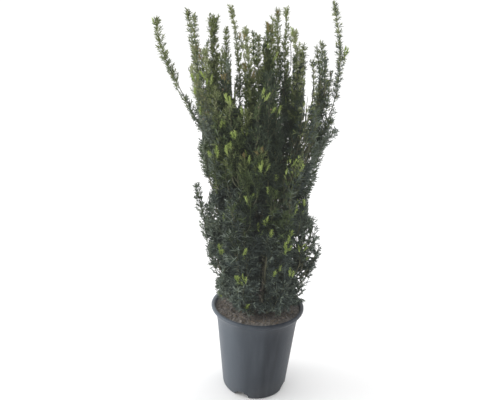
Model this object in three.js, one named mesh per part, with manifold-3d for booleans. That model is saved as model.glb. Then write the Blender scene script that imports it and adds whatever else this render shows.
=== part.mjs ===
// A young upright yew growing in a round plastic nursery pot.
// Millimetres, +Z up. The origin is the middle of the pot's underside, and -Y is the plant's front.
import * as THREE from "three";
import { mergeVertices } from "three/addons/utils/BufferGeometryUtils.js";
import Module from "manifold-3d";

const wasm = await Module();
wasm.setup();

// Clearance left between solids that touch, the flatness below which a cut's slivers are merged, and
// how far a cut reaches past the surface it opens.
const GAP = 0.5;
const SLIVER = 0.06;
const CUT_PAST = 5;

// The pot: a thin moulded wall that flares to a collar under its lip, drained by arches at its foot.
const POT = {
  height: 262,
  lipRadius: 140,
  lipDepth: 9,
  bandRadius: 129,
  bandDepth: 36,
  neckRadius: 120,
  baseRadius: 98,
  wall: 2.4,
  segments: 28,
};
const ARCH = { count: 4, width: 46, height: 12, depth: 20, turn: -113 };

// The compost: filled to just under the lip, a little higher at the front.
const SOIL = { level: 250, frontRise: 7, bump: 2.4, rings: 3, sides: 22 };

// The trunk: a slim stem that rises from the middle of the compost and leans back to its fork.
const TRUNK = {
  foot: [14, -22, 246],
  top: [-4, 4, 640],
  bow: [4, -6],
  footRadius: 5.5,
  topRadius: 3.2,
  flareRadius: 8.5,
  flareHeight: 20,
  steps: 10,
  sides: 8,
};

// Boughs: [name, height on the trunk, end point, radius at the trunk, radius at the end].
const BOUGHS = [
  ["bough_left_leader", 352, [-72, -6, 592], 4.2, 2.6],
  ["bough_right_leader", 366, [66, 4, 596], 4.2, 2.6],
  ["bough_back_leader", 384, [2, 70, 600], 4, 2.4],
  ["bough_front_leader", 402, [-30, -66, 596], 3.6, 2.4],
  ["bough_low_left", 300, [-70, -18, 348], 2.8, 2],
  ["bough_low_right", 310, [70, 8, 360], 2.8, 2],
  ["bough_low_back", 322, [22, 68, 372], 2.8, 2],
  ["bough_low_front", 336, [34, -70, 382], 2.6, 1.8],
  ["bough_back_left", 426, [-44, 54, 486], 3, 2],
  ["bough_back_right", 440, [46, 52, 498], 3, 2],
];
const BOUGH_FACETS = { steps: 5, sides: 6 };

// Upright shoots above the crown, each a plume of needles round its own leader:
// [name, foot, tip, sideways bow, radius low down, radius near the tip].
const SHOOTS = [
  ["shoot_far_left", [-156, -20, 752], [-292, -10, 1058], [-18, 0], 16, 15],
  ["shoot_left_tall", [-182, 36, 800], [-223, 50, 1092], [6, 0], 22, 12],
  ["shoot_left_twin", [-168, 10, 790], [-201, 26, 1076], [-7, 0], 18, 12],
  ["shoot_left_outer", [-126, -74, 738], [-194, -100, 942], [-8, 0], 24, 14],
  ["shoot_left_square", [-140, 0, 792], [-151, -10, 1069], [-4, 0], 22, 15],
  ["shoot_left_short", [-122, -94, 780], [-161, -98, 980], [-4, 0], 16, 9],
  ["shoot_left_inner", [-112, 58, 792], [-123, 60, 1050], [2, 0], 20, 12],
  ["shoot_gap_slim", [-74, 95, 764], [-116, 90, 1110], [9, 0], 17, 9],
  ["shoot_centre_front", [-42, -100, 765], [-59, -108, 1029], [3, 0], 21, 15],
  ["shoot_centre_back", [-22, 61, 792], [-34, 66, 1035], [3, 0], 19, 12],
  ["shoot_centre_full", [-9, -42, 792], [-6, -52, 1049], [2, 0], 26, 16],
  ["shoot_centre_tall", [20, 42, 756], [17, 48, 1099], [3, 0], 22, 13],
  ["shoot_centre_peak", [39, -8, 792], [33, -20, 1092], [5, 0], 21, 12],
  ["shoot_right_front", [64, -88, 768], [62, -96, 1031], [4, 0], 24, 15],
  ["shoot_right_slim", [92, 81, 792], [101, 90, 950], [2, 0], 11, 8],
  ["shoot_gap_short", [114, -62, 780], [101, -80, 964], [3, 0], 13, 8],
  ["shoot_right_full", [135, 11, 792], [136, 20, 1018], [8, 0], 27, 16],
  ["shoot_far_right", [140, 0, 730], [162, 0, 1114], [26, 0], 16, 11],
  ["shoot_back_left", [-96, 120, 792], [-112, 128, 960], [0, 4], 22, 14],
  ["shoot_back_middle", [0, 126, 792], [-8, 138, 985], [0, 4], 24, 14],
  ["shoot_back_right", [56, 112, 792], [58, 122, 975], [0, 4], 22, 14],
];
const SHOOT_FACETS = { sides: 6, storeys: 7 };

// Masses of the crown, set round its axis in three storeys that lap over each other. Angles run from
// +X towards +Y: [name, angle, foot radius, foot height, reach, tip radius, tip height, girth].
const CROWN_AXIS = [-6, 0];
const CLUMPS = [
  ["crown_left", 180, 66, 548, 185, 158, 852, 60],
  ["crown_front_left", 224, 60, 540, 172, 142, 846, 60],
  ["crown_front", 270, 58, 536, 162, 134, 858, 57],
  ["crown_right", 2, 70, 528, 170, 160, 842, 54],
  ["crown_front_right", 316, 60, 556, 166, 140, 836, 55],
  ["crown_back_right", 48, 60, 566, 170, 140, 850, 56],
  ["crown_back", 92, 60, 548, 166, 138, 862, 56],
  ["crown_back_left", 136, 60, 560, 176, 146, 846, 58],
  ["middle_left", 182, 74, 318, 166, 98, 694, 56],
  ["middle_front_left", 240, 64, 352, 158, 96, 668, 55],
  ["middle_front_right", 298, 64, 340, 160, 96, 668, 53],
  ["middle_right", 356, 78, 308, 179, 84, 640, 56],
  ["middle_back_right", 56, 64, 346, 164, 98, 672, 56],
  ["middle_back_left", 120, 64, 338, 162, 98, 660, 57],
  ["skirt_left", 194, 66, 271, 148, 96, 470, 44],
  ["skirt_front_left", 248, 66, 265, 138, 88, 430, 42],
  ["skirt_front_right", 306, 68, 267, 138, 86, 424, 40],
  ["skirt_right", 6, 88, 267, 163, 100, 462, 44],
  ["skirt_back_right", 66, 64, 272, 140, 88, 450, 45],
  ["skirt_back_left", 132, 64, 270, 142, 88, 440, 45],
];
const CLUMP_FACETS = { sides: 8, storeys: 8 };

// The heart of the crown round the trunk's fork, and one loose spray that stands out at the left,
// in the same terms as SHOOTS.
const HEART = ["crown_heart", [-6, 2, 598], [-10, 2, 884], [0, 0], 70, 46];
const SPRAY = ["spray_low_left", [-154, -12, 452], [-192, -14, 628], [4, 0], 17, 13];

const COLOUR = {
  pot: 0x3b4046,
  soil: 0x5b4a3a,
  bark: 0x6a5a3c,
  shoot: 0x46552f,
  crown: 0x2f4026,
  skirt: 0x2c3b2a,
};

// ---------------------------------------------------------------- shapes

// A closed solid through a stack of rings of equal length, with a point at each end.
function skin(low, rings, high) {
  const sides = rings[0].length;
  const points = [low, ...rings.flat(), high];
  const last = points.length - 1;
  const faces = [];
  const at = (level, side) => 1 + level * sides + (side % sides);
  for (let side = 0; side < sides; side++) {
    faces.push(0, at(0, side + 1), at(0, side));
    for (let level = 0; level + 1 < rings.length; level++) {
      faces.push(at(level, side), at(level, side + 1), at(level + 1, side + 1));
      faces.push(at(level, side), at(level + 1, side + 1), at(level + 1, side));
    }
    faces.push(last, at(rings.length - 1, side), at(rings.length - 1, side + 1));
  }
  const geometry = new THREE.BufferGeometry().setFromPoints(points);
  geometry.setIndex(faces);
  return geometry;
}

// A point on the line from foot to tip, bowed sideways most at the middle.
function along(foot, tip, bow, t) {
  const swing = 4 * t * (1 - t);
  return new THREE.Vector3(
    foot[0] + (tip[0] - foot[0]) * t + bow[0] * swing,
    foot[1] + (tip[1] - foot[1]) * t + bow[1] * swing,
    foot[2] + (tip[2] - foot[2]) * t,
  );
}

// A level ring of points round a centre, its radius given for each angle.
function ring(centre, sides, radiusAt) {
  return Array.from({ length: sides }, (_, side) => {
    const angle = (2 * Math.PI * side) / sides;
    const reach = new THREE.Vector3(Math.cos(angle), Math.sin(angle), 0);
    return reach.multiplyScalar(radiusAt(angle)).add(centre);
  });
}

// A steady number from a name, so that every mass is lumpy in its own way.
function phaseOf(name) {
  return [...name].reduce((sum, letter, place) => sum + letter.charCodeAt(0) * (place + 3), 0) % 97;
}

// A mass of foliage: an uneven solid round a bowed line, closed to a point at both ends.
// A small blunt keeps an even width along it, a large one makes an egg; grow adds to its radius.
function foliage({ name, foot, tip, bow, low, high, blunt, lumps, sides, storeys }, grow) {
  const phase = phaseOf(name);
  const rings = [];
  for (let storey = 1; storey < storeys; storey++) {
    const t = (1 - Math.cos((Math.PI * storey) / storeys)) / 2;
    const girth = (low + (high - low) * t) * Math.sin(Math.PI * t) ** blunt;
    rings.push(
      ring(along(foot, tip, bow, t), sides, (angle) => {
        const broad = Math.sin(2 * angle + phase + 5 * t);
        const fine = Math.sin(3 * angle - phase - 13 * t);
        return grow + girth * (1 + lumps * (0.55 * broad + 0.45 * fine));
      }),
    );
  }
  const lowEnd = along(foot, tip, bow, 0);
  const highEnd = along(foot, tip, bow, 1);
  const lift = highEnd.clone().sub(lowEnd).setLength(2 * grow);
  return skin(lowEnd.sub(lift), rings, highEnd.add(lift));
}

// ---------------------------------------------------------------- solids

function toSolid(geometry) {
  const bare = geometry.clone();
  bare.deleteAttribute("normal");
  bare.deleteAttribute("uv");
  const merged = mergeVertices(bare, 1e-4);
  return new wasm.Manifold(
    new wasm.Mesh({
      numProp: 3,
      vertProperties: new Float32Array(merged.attributes.position.array),
      triVerts: new Uint32Array(merged.index.array),
    }),
  );
}

function toGeometry(solid) {
  const { numProp, vertProperties, triVerts } = solid.getMesh();
  const positions = new Float32Array((vertProperties.length / numProp) * 3);
  for (let vertex = 0; vertex * numProp < vertProperties.length; vertex++) {
    positions.set(vertProperties.subarray(vertex * numProp, vertex * numProp + 3), vertex * 3);
  }
  const geometry = new THREE.BufferGeometry();
  geometry.setAttribute("position", new THREE.BufferAttribute(positions, 3));
  geometry.setIndex(new THREE.BufferAttribute(triVerts, 1));
  geometry.computeVertexNormals();
  return geometry;
}

// The biggest of the bodies that a cut leaves.
function mainBody(solid) {
  return solid.decompose().reduce((best, body) => (body.volume() > best.volume() ? body : best));
}

// ---------------------------------------------------------------- pot and compost

const NECK = POT.height - POT.bandDepth;
const BAND_INSIDE = POT.bandRadius - 2 * POT.wall;

// Half of the pot's section: out along the underside, up the wall, over the lip and down the inside.
function potSection() {
  const { height, lipRadius, lipDepth, bandRadius, neckRadius, baseRadius, wall } = POT;
  return [
    [0, 0],
    [baseRadius - 2, 0],
    [baseRadius, 2],
    [neckRadius, NECK],
    [bandRadius - 1, NECK + 9],
    [bandRadius, height - lipDepth],
    [lipRadius, height - lipDepth],
    [lipRadius, height - 2],
    [lipRadius - 2, height],
    [BAND_INSIDE, height],
    [BAND_INSIDE, NECK + 11],
    [neckRadius - wall, NECK],
    [baseRadius - wall, wall],
    [0, wall],
  ].map(([radius, z]) => new THREE.Vector2(radius, z));
}

// A drain arch: a half-round tunnel through the foot of the wall.
function archTool(angle) {
  const shape = new THREE.Shape();
  shape.moveTo(-ARCH.width / 2, -CUT_PAST);
  shape.lineTo(ARCH.width / 2, -CUT_PAST);
  shape.absellipse(0, 0, ARCH.width / 2, ARCH.height, 0, Math.PI, false, 0);
  const depth = ARCH.depth + CUT_PAST;
  const tool = new THREE.ExtrudeGeometry(shape, { depth, bevelEnabled: false, curveSegments: 6 });
  tool.rotateX(Math.PI / 2);
  tool.rotateZ(Math.PI / 2);
  tool.translate(POT.baseRadius - ARCH.depth, 0, 0);
  tool.rotateZ(THREE.MathUtils.degToRad(angle));
  return tool;
}

function makePot() {
  const lathe = new THREE.LatheGeometry(potSection(), POT.segments);
  lathe.rotateX(Math.PI / 2);
  let pot = toSolid(lathe);
  for (let arch = 0; arch < ARCH.count; arch++) {
    pot = pot.subtract(toSolid(archTool(ARCH.turn + (arch * 360) / ARCH.count)));
  }
  return mainBody(pot);
}

// Radius of the compost that just clears the inside of the faceted wall at a height.
function fillRadius(z) {
  const low = POT.baseRadius - POT.wall;
  const high = POT.neckRadius - POT.wall;
  const straight = THREE.MathUtils.mapLinear(z, POT.wall, NECK, low, high);
  const flared = THREE.MathUtils.mapLinear(z, NECK, NECK + 11, high, BAND_INSIDE);
  const bore = z < NECK ? straight : Math.min(flared, BAND_INSIDE);
  return bore * Math.cos(Math.PI / POT.segments) - GAP;
}

function soilHeight(x, y) {
  const front = Math.max(0, -y / POT.neckRadius);
  const bumps = Math.sin(x / 13 + 1.3) * Math.cos(y / 17 + 0.4) + 0.6 * Math.sin((x + y) / 9);
  return SOIL.level + SOIL.frontRise * front ** 2 + SOIL.bump * bumps;
}

// The root ball fills the pot from its floor up, and its top is a fan of low bumps.
function makeSoil() {
  const bottom = POT.wall + GAP;
  const level = (radius, z) => ring(new THREE.Vector3(0, 0, z), SOIL.sides, () => radius);
  const uneven = (radius) => level(radius, 0).map((p) => p.setZ(soilHeight(p.x, p.y)));
  const rim = fillRadius(SOIL.level) - 1;
  const rings = [level(fillRadius(bottom), bottom), level(fillRadius(NECK), NECK)];
  for (let step = 0; step < SOIL.rings; step++) {
    rings.push(uneven(rim * (1 - step / SOIL.rings)));
  }
  const top = new THREE.Vector3(0, 0, soilHeight(0, 0));
  return toSolid(skin(new THREE.Vector3(0, 0, bottom), rings, top));
}

// ---------------------------------------------------------------- trunk and boughs

// The trunk's middle at a height.
function trunkAt(z) {
  const t = (z - TRUNK.foot[2]) / (TRUNK.top[2] - TRUNK.foot[2]);
  return along(TRUNK.foot, TRUNK.top, TRUNK.bow, t);
}

// The trunk is cut level at its foot, flares there, and tapers steadily above.
function makeTrunk(grow) {
  const height = TRUNK.top[2] - TRUNK.foot[2];
  const flare = TRUNK.flareRadius - TRUNK.footRadius;
  const rings = [];
  for (let step = 0; step <= TRUNK.steps; step++) {
    const t = (step / TRUNK.steps) ** 1.5;
    const taper = THREE.MathUtils.lerp(TRUNK.footRadius, TRUNK.topRadius, t);
    const spread = flare * Math.max(0, 1 - (t * height) / TRUNK.flareHeight) ** 2;
    const centre = trunkAt(TRUNK.foot[2] + t * height);
    centre.z += grow * (2 * t - 1);
    rings.push(ring(centre, TRUNK.sides, () => taper + spread + grow));
  }
  const lift = new THREE.Vector3(0, 0, grow);
  const low = trunkAt(TRUNK.foot[2]).sub(lift);
  return toSolid(skin(low, rings, trunkAt(TRUNK.top[2]).add(lift)));
}

// A bough leaves the trunk sideways, turns upwards, and tapers to an end cut square.
function makeBough([, height, end, thick, thin], grow) {
  const start = trunkAt(height);
  const outward = new THREE.Vector3(...end).sub(start).normalize();
  const finish = new THREE.Vector3(...end).addScaledVector(outward, grow);
  const elbow = start.clone().lerp(finish, 0.5);
  elbow.z = THREE.MathUtils.lerp(start.z, finish.z, 0.35);
  const curve = new THREE.QuadraticBezierCurve3(start, elbow, finish);
  const { steps, sides } = BOUGH_FACETS;
  const { normals, binormals } = curve.computeFrenetFrames(steps);
  const rings = normals.map((normal, step) => {
    const t = step / steps;
    const radius = THREE.MathUtils.lerp(thick, thin, t) + grow;
    return ring(new THREE.Vector3(), sides, () => radius).map((p) =>
      curve.getPointAt(t).addScaledVector(normal, p.x).addScaledVector(binormals[step], p.y),
    );
  });
  return toSolid(skin(start, rings, finish));
}

// ---------------------------------------------------------------- foliage

function plume([name, foot, tip, bow, low, high]) {
  return { name, foot, tip, bow, low, high, blunt: 0.3, lumps: 0.2, ...SHOOT_FACETS };
}

// A clump's line starts near the trunk, swings out until its belly meets its reach, and turns up.
function clump([name, degrees, footRadius, footHeight, reach, tipRadius, tipHeight, girth]) {
  const angle = THREE.MathUtils.degToRad(degrees);
  const out = [Math.cos(angle), Math.sin(angle)];
  const place = (radius) => [CROWN_AXIS[0] + radius * out[0], CROWN_AXIS[1] + radius * out[1]];
  const swing = reach - girth - (footRadius + tipRadius) / 2;
  return {
    name,
    foot: [...place(footRadius), footHeight],
    tip: [...place(tipRadius), tipHeight],
    bow: [swing * out[0], swing * out[1]],
    low: girth,
    high: girth * 0.86,
    blunt: 0.42,
    lumps: 0.22,
    ...CLUMP_FACETS,
  };
}

// ---------------------------------------------------------------- the plant, put together

const plant = new THREE.Group();

function add(name, solid, color, roughness) {
  const material = new THREE.MeshStandardMaterial({ color, roughness, metalness: 0 });
  const mesh = new THREE.Mesh(toGeometry(mainBody(solid).simplify(SLIVER)), material);
  mesh.name = name;
  plant.add(mesh);
}

add("pot", makePot(), COLOUR.pot, 0.45);
add("compost", makeSoil().subtract(makeTrunk(GAP)), COLOUR.soil, 0.95);
add("trunk", makeTrunk(0), COLOUR.bark, 0.85);

// Room taken by the pieces placed so far, a little fatter than they are; later ones are cut from it.
let taken = makeTrunk(GAP);
for (const bough of BOUGHS) {
  add(bough[0], makeBough(bough, 0).subtract(taken), COLOUR.bark, 0.85);
  taken = taken.add(makeBough(bough, GAP));
}

function addFoliage(mass, colour) {
  add(mass.name, toSolid(foliage(mass, 0)).subtract(taken), colour, 0.9);
  taken = taken.add(toSolid(foliage(mass, GAP)));
}

for (const row of [...SHOOTS, SPRAY]) addFoliage(plume(row), COLOUR.shoot);
addFoliage({ ...plume(HEART), ...CLUMP_FACETS }, COLOUR.crown);
for (const row of CLUMPS) {
  addFoliage(clump(row), row[0].startsWith("skirt") ? COLOUR.skirt : COLOUR.crown);
}

export default plant;
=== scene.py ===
"""A young upright yew in a round plastic nursery pot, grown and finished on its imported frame.

Metres, +Z up, the front is -Y. The plant's masses are stand-ins for what is grown here: leaders,
side twigs and needles that start from the real limbs and stop at the masses' own surfaces.
"""

import math

import bpy
import numpy as np
from mathutils import Matrix, Vector, noise
from mathutils.bvhtree import BVHTree


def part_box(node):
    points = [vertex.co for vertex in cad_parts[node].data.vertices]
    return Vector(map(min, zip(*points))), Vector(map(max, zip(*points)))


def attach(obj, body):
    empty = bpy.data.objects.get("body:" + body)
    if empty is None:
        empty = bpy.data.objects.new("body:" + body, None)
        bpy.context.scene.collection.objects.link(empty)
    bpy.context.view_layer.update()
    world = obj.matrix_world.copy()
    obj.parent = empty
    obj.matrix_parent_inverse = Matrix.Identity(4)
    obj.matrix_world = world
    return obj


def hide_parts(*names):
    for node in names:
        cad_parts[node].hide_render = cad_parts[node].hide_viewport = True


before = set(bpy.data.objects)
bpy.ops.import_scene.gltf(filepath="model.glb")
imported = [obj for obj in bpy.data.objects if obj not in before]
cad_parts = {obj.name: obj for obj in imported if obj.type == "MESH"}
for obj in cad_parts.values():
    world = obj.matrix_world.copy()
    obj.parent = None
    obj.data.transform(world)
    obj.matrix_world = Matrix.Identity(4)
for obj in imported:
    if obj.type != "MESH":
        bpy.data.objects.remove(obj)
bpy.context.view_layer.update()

# ---------------------------------------------------------------- viewpoint
# Eye level with the upper crown, looking down a little on to the pot, with the camera held slightly
# askew so that the plant leans to the right.

EYE = Vector((-0.036, -1.188, 0.883))
LOOKING_DOWN = math.radians(14.2)
HELD_ASKEW = math.radians(2.4)
LENS_MM = 30.96

camera = bpy.data.objects.new("camera", bpy.data.cameras.new("camera"))
camera.data.lens = LENS_MM
camera.matrix_world = (
    Matrix.Translation(EYE)
    @ Matrix.Rotation(math.pi / 2 - LOOKING_DOWN, 4, "X")
    @ Matrix.Rotation(HELD_ASKEW, 4, "Z")
)
bpy.context.scene.collection.objects.link(camera)
bpy.context.scene.camera = camera

# ---------------------------------------------------------------- pot
# A thin injection-moulded polypropylene container: a tapering wall under a rolled lip, with four
# drain arches at its foot. The plastic is blue-grey, satin, faintly dusty low down and scuffed, and
# light is painted into its colour: paler towards its left side as if lit from the left, broad vertical
# bands of painted light and shade, and faint vertical reflections painted in as light streaking.

POT_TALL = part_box("pot")[1].z
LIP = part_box("pot")[1].y
LIP_DEPTH = 0.009
LIP_WIDE = 0.0105
COLLAR = 0.1295
COLLAR_DEPTH = 0.042
NECK = 0.1212
BASE = 0.098
WALL = 0.0022
POT_SIDES = 136
ROW_TALL = 0.014
ARCH_WIDTH = 0.046
ARCH_HEIGHT = 0.017
ARCH_DEEP = 0.020
ARCH_COUNT = 4
FIRST_ARCH = math.radians(-113)


class Wire:
    """One socket in a material, so that a finish is written as plain arithmetic on its patterns."""

    def __init__(self, tree, socket=None):
        self.tree = tree
        self.socket = socket

    def node(self, kind, sockets, output=0, **settings):
        made = self.tree.nodes.new(kind)
        for name, value in settings.items():
            setattr(made, name, value)
        for name, value in sockets.items():
            if isinstance(value, Wire):
                self.tree.links.new(value.socket, made.inputs[name])
            else:
                made.inputs[name].default_value = value
        return Wire(self.tree, made.outputs[output])

    def maths(self, operation, left, right):
        return self.node("ShaderNodeMath", {0: left, 1: right}, operation=operation)

    def __add__(self, other):
        return self.maths("ADD", self, other)

    __radd__ = __add__

    def __sub__(self, other):
        return self.maths("SUBTRACT", self, other)

    def __rsub__(self, other):
        return self.maths("SUBTRACT", other, self)

    def __mul__(self, other):
        return self.maths("MULTIPLY", self, other)

    __rmul__ = __mul__

    def between(self, low, high):
        """0 below low, 1 above high, and even in between."""
        return self.node("ShaderNodeMapRange", {0: self, 1: low, 2: high})

    def blend(self, first, second):
        """The first colour where this is 0 and the second where it is 1."""
        sockets = {0: self, 6: first, 7: second}
        return self.node("ShaderNodeMix", sockets, 2, data_type="RGBA")

    def place(self, stretch=(1, 1, 1)):
        """Where a point lies on the part, in metres, stretched along the axes."""
        here = self.node("ShaderNodeTexCoord", {}, 3)
        return self.node("ShaderNodeVectorMath", {0: here, 1: stretch}, operation="MULTIPLY")

    def along(self, axis):
        """How far a point lies along one axis of the part, in metres."""
        return self.node("ShaderNodeSeparateXYZ", {0: self.place()}, "XYZ".index(axis))

    def clouds(self, scale, detail=4, rough=0.55, stretch=(1, 1, 1)):
        """A cloudy pattern from 0 to 1 with about this many blots to the metre."""
        sockets = {"Vector": self.place(stretch), "Scale": scale, "Detail": detail, "Roughness": rough}
        return self.node("ShaderNodeTexNoise", sockets)

    def relief(self, depth, strength=1.0):
        return self.node("ShaderNodeBump", {"Height": self, "Distance": depth, "Strength": strength})


def tone(red, green, blue):
    """A colour as a screen shows it, 0 to 255, turned into the even scale that light adds up on."""
    channels = [channel / 255 for channel in (red, green, blue)]
    return tuple(c / 12.92 if c < 0.04045 else ((c + 0.055) / 1.055) ** 2.4 for c in channels) + (1,)


def finish(name, recipe, *colours):
    """A material whose surface is set from a recipe, which is given a blank wire and the colours."""
    material = bpy.data.materials.new(name)
    material.use_nodes = True
    tree = material.node_tree
    surface = tree.nodes["Principled BSDF"]
    for socket, value in recipe(Wire(tree), *[tone(*colour) for colour in colours]).items():
        if isinstance(value, Wire):
            tree.links.new(value.socket, surface.inputs[socket])
        else:
            surface.inputs[socket].default_value = value
    return material


def put_in(name, mesh, material, stands_for=()):
    """Shows a mesh as a piece of the plant, riding on its one body."""
    mesh.materials.append(material)
    piece = bpy.data.objects.new(name, mesh)
    bpy.context.scene.collection.objects.link(piece)
    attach(piece, "root")
    if stands_for:
        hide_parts(*stands_for)
    return piece


def as_built(thing):
    """A thing's mesh with its modifiers carried out."""
    return bpy.data.meshes.new_from_object(thing.evaluated_get(bpy.context.evaluated_depsgraph_get()))


def skin(name, points, faces, smooth=True):
    """A mesh from an array of points and an array of faces that all have the same number of corners."""
    mesh = bpy.data.meshes.new(name)
    mesh.vertices.add(len(points))
    mesh.vertices.foreach_set("co", np.ascontiguousarray(points, np.float32).ravel())
    mesh.loops.add(faces.size)
    mesh.loops.foreach_set("vertex_index", np.ascontiguousarray(faces, np.int32).ravel())
    mesh.polygons.add(len(faces))
    mesh.polygons.foreach_set("loop_start", np.arange(0, faces.size, faces.shape[1], dtype=np.int32))
    mesh.update(calc_edges=True)
    mesh.polygons.foreach_set("use_smooth", np.full(len(faces), smooth))
    return mesh


def ring_faces(rings, sides, first, last):
    """The triangles of a body of stacked rings of points, closed at its ends by two more points."""
    side = np.arange(sides)
    along = (side + 1) % sides
    faces = [np.stack([side * 0 + first, along, side], 1)]
    for ring in range(rings - 1):
        low = ring * sides
        high = low + sides
        faces.append(np.stack([low + side, low + along, high + along], 1))
        faces.append(np.stack([low + side, high + along, high + side], 1))
    top = (rings - 1) * sides
    faces.append(np.stack([top + side, top + along, side * 0 + last], 1))
    return np.concatenate(faces)


def round_off(corners, steps=4):
    """An outline of (radius, height, rounding) corners, each rounding turned into a short curve."""
    outline = []
    for here, (radius, height, rounding) in enumerate(corners):
        corner = np.array((radius, height))
        if not rounding:
            outline.append(corner)
            continue
        before = np.array(corners[here - 1][:2]) - corner
        after = np.array(corners[here + 1][:2]) - corner
        start = corner + before * min(rounding / np.linalg.norm(before), 0.5)
        end = corner + after * min(rounding / np.linalg.norm(after), 0.5)
        for step in range(steps + 1):
            t = step / steps
            outline.append((1 - t) ** 2 * start + 2 * t * (1 - t) * corner + t**2 * end)
    return np.array(outline)


def in_rows(outline, tall):
    """The same outline with its tall straight runs split into even rows."""
    rows = [outline[0]]
    for before, after in zip(outline[:-1], outline[1:]):
        parts = math.ceil(abs(after[1] - before[1]) / tall) or 1
        rows.extend(before + (after - before) * part / parts for part in range(1, parts + 1))
    return np.array(rows)


def turn(name, outline, sides):
    """A closed solid of revolution: the outline starts and ends on the axis."""
    angles = np.arange(sides) * 2 * math.pi / sides
    wheel = np.stack([np.cos(angles), np.sin(angles)], 1)
    body = outline[1:-1]
    rings = np.empty((len(body), sides, 3))
    rings[:, :, :2] = body[:, None, :1] * wheel[None]
    rings[:, :, 2] = body[:, None, 1]
    points = np.concatenate([rings.reshape(-1, 3), [(0, 0, outline[0, 1]), (0, 0, outline[-1, 1])]])
    return skin(name, points, ring_faces(len(body), sides, len(points) - 2, len(points) - 1))


def cut_arches(pot):
    """Takes the drain arches out of the foot of the wall."""
    angles = np.linspace(0, math.pi, 17)
    half_round = np.stack([np.cos(angles) * ARCH_WIDTH / 2, np.sin(angles) * ARCH_HEIGHT], 1)
    half_round = np.concatenate([half_round, [(-ARCH_WIDTH / 2, -0.01), (ARCH_WIDTH / 2, -0.01)]])
    count = len(half_round)
    for arch in range(ARCH_COUNT):
        turned = Matrix.Rotation(FIRST_ARCH + arch * 2 * math.pi / ARCH_COUNT, 3, "Z")
        inner, outer = BASE - ARCH_DEEP, BASE + 0.010
        ends = [[turned @ Vector((x, y, z)) for y, z in half_round] for x in (inner, outer)]
        sides = [[i, (i + 1) % count, count + (i + 1) % count, count + i] for i in range(count)]
        caps = [list(range(count))[::-1], list(range(count, 2 * count))]
        tool_mesh = bpy.data.meshes.new("arch")
        tool_mesh.from_pydata([*ends[0], *ends[1]], [], sides + caps)
        tool = bpy.data.objects.new("arch", tool_mesh)
        bpy.context.scene.collection.objects.link(tool)
        cut = pot.modifiers.new("arch", "BOOLEAN")
        cut.operation = "DIFFERENCE"
        cut.object = tool
        settled = as_built(pot)
        pot.modifiers.clear()
        pot.data = settled
        bpy.data.objects.remove(tool)
    pot.data.set_sharp_from_angle(angle=math.radians(38))


def pot_plastic(blank):
    grime = blank.clouds(9, 6, 0.62)
    # Painted light and shade: broad vertical bands that lighten and darken the wall.
    painted_light_bands = blank.clouds(15, 3, 0.5, stretch=(1, 1, 0.07)).between(0.3, 0.7)
    dust = (1 - blank.along("Z").between(0.0, 0.07)) * grime.between(0.35, 0.75)
    # Painted reflection: faint vertical light streaking down the wall.
    painted_reflection_streaks = blank.clouds(60, 3, 0.5, stretch=(1, 1, 0.06)).between(0.50, 0.85)
    scuffs = blank.clouds(240, 5, 0.7, stretch=(1, 1, 0.35)).between(0.66, 0.74)
    # Painted light: the plastic grows paler towards the pot's left side, as if lit from the left.
    painted_left_light = 1 - blank.along("X").between(-0.15, 0.025)
    shade = 0.08 * grime + 0.18 * painted_light_bands + 0.74 * painted_left_light
    plastic = shade.blend(tone(6, 12, 22), tone(94, 102, 111))
    # Real scuffs, and the painted reflection streaking, both lighten the plastic.
    scuffs_and_painted_streaks = (scuffs * 0.28 + painted_reflection_streaks * 0.10).blend(plastic, tone(96, 101, 107))
    stipple = blank.clouds(1500, 2) * 0.5 + blank.clouds(40, 2) * 2
    return {
        "Base Color": (dust * 0.3).blend(scuffs_and_painted_streaks, tone(96, 96, 94)),
        "Roughness": 0.40 + grime * 0.14 + dust * 0.25 + scuffs * 0.12,
        "Normal": stipple.relief(0.0004, 0.5),
        "Specular IOR Level": 0.16,
    }


lip_under = POT_TALL - LIP_DEPTH
collar_under = POT_TALL - COLLAR_DEPTH
pot_outline = round_off(
    [
        (0, 0, 0),
        (BASE - 0.002, 0, 0),
        (BASE, 0.003, 0.003),
        (NECK, collar_under, 0.016),
        (COLLAR, collar_under + 0.026, 0.012),
        (LIP - 0.001, lip_under, 0.006),
        (LIP, POT_TALL, 0.0045),
        (LIP - LIP_WIDE, POT_TALL, 0.003),
        (COLLAR - WALL, lip_under - 0.004, 0.005),
        (NECK - WALL, collar_under, 0.012),
        (BASE - WALL, WALL, 0.002),
        (0, WALL, 0),
    ]
)
pot_mesh = turn("pot_moulding", in_rows(pot_outline, ROW_TALL), POT_SIDES)
pot = put_in("pot_moulding", pot_mesh, finish("pot_plastic", pot_plastic), ["pot"])
cut_arches(pot)

# ---------------------------------------------------------------- compost
# Bark compost, pressed in by hand and dried on top: a lumpy surface heaped towards the front, with
# loose bark chips and crumbs lying on it.

SOIL_RINGS = 44
SOIL_SIDES = 168
SOIL_HEAPED = 0.117
SOIL_LUMPS = 0.0030
SOIL_GRAIN = 0.0012
SOIL_FLOOR = WALL + 0.0006
CHIP_COUNT = 1500
CHIP_LONG = (0.004, 0.013)
CHIP_THICK = 0.0022
CRUMB_COUNT = 2600
CRUMB_WIDE = (0.0012, 0.0034)

soil_random = np.random.default_rng(11)
soil_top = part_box("compost")[1].z
soil_edge = COLLAR - WALL - 0.0004
packed_soil = BVHTree.FromObject(
    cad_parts["compost"], bpy.context.evaluated_depsgraph_get()
)


def drop(tree, x, y, missing):
    """Height at which something falling at this place lands."""
    landed = tree.ray_cast(Vector((x, y, 1)), Vector((0, 0, -1)))[0]
    return landed.z if landed else missing


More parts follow.
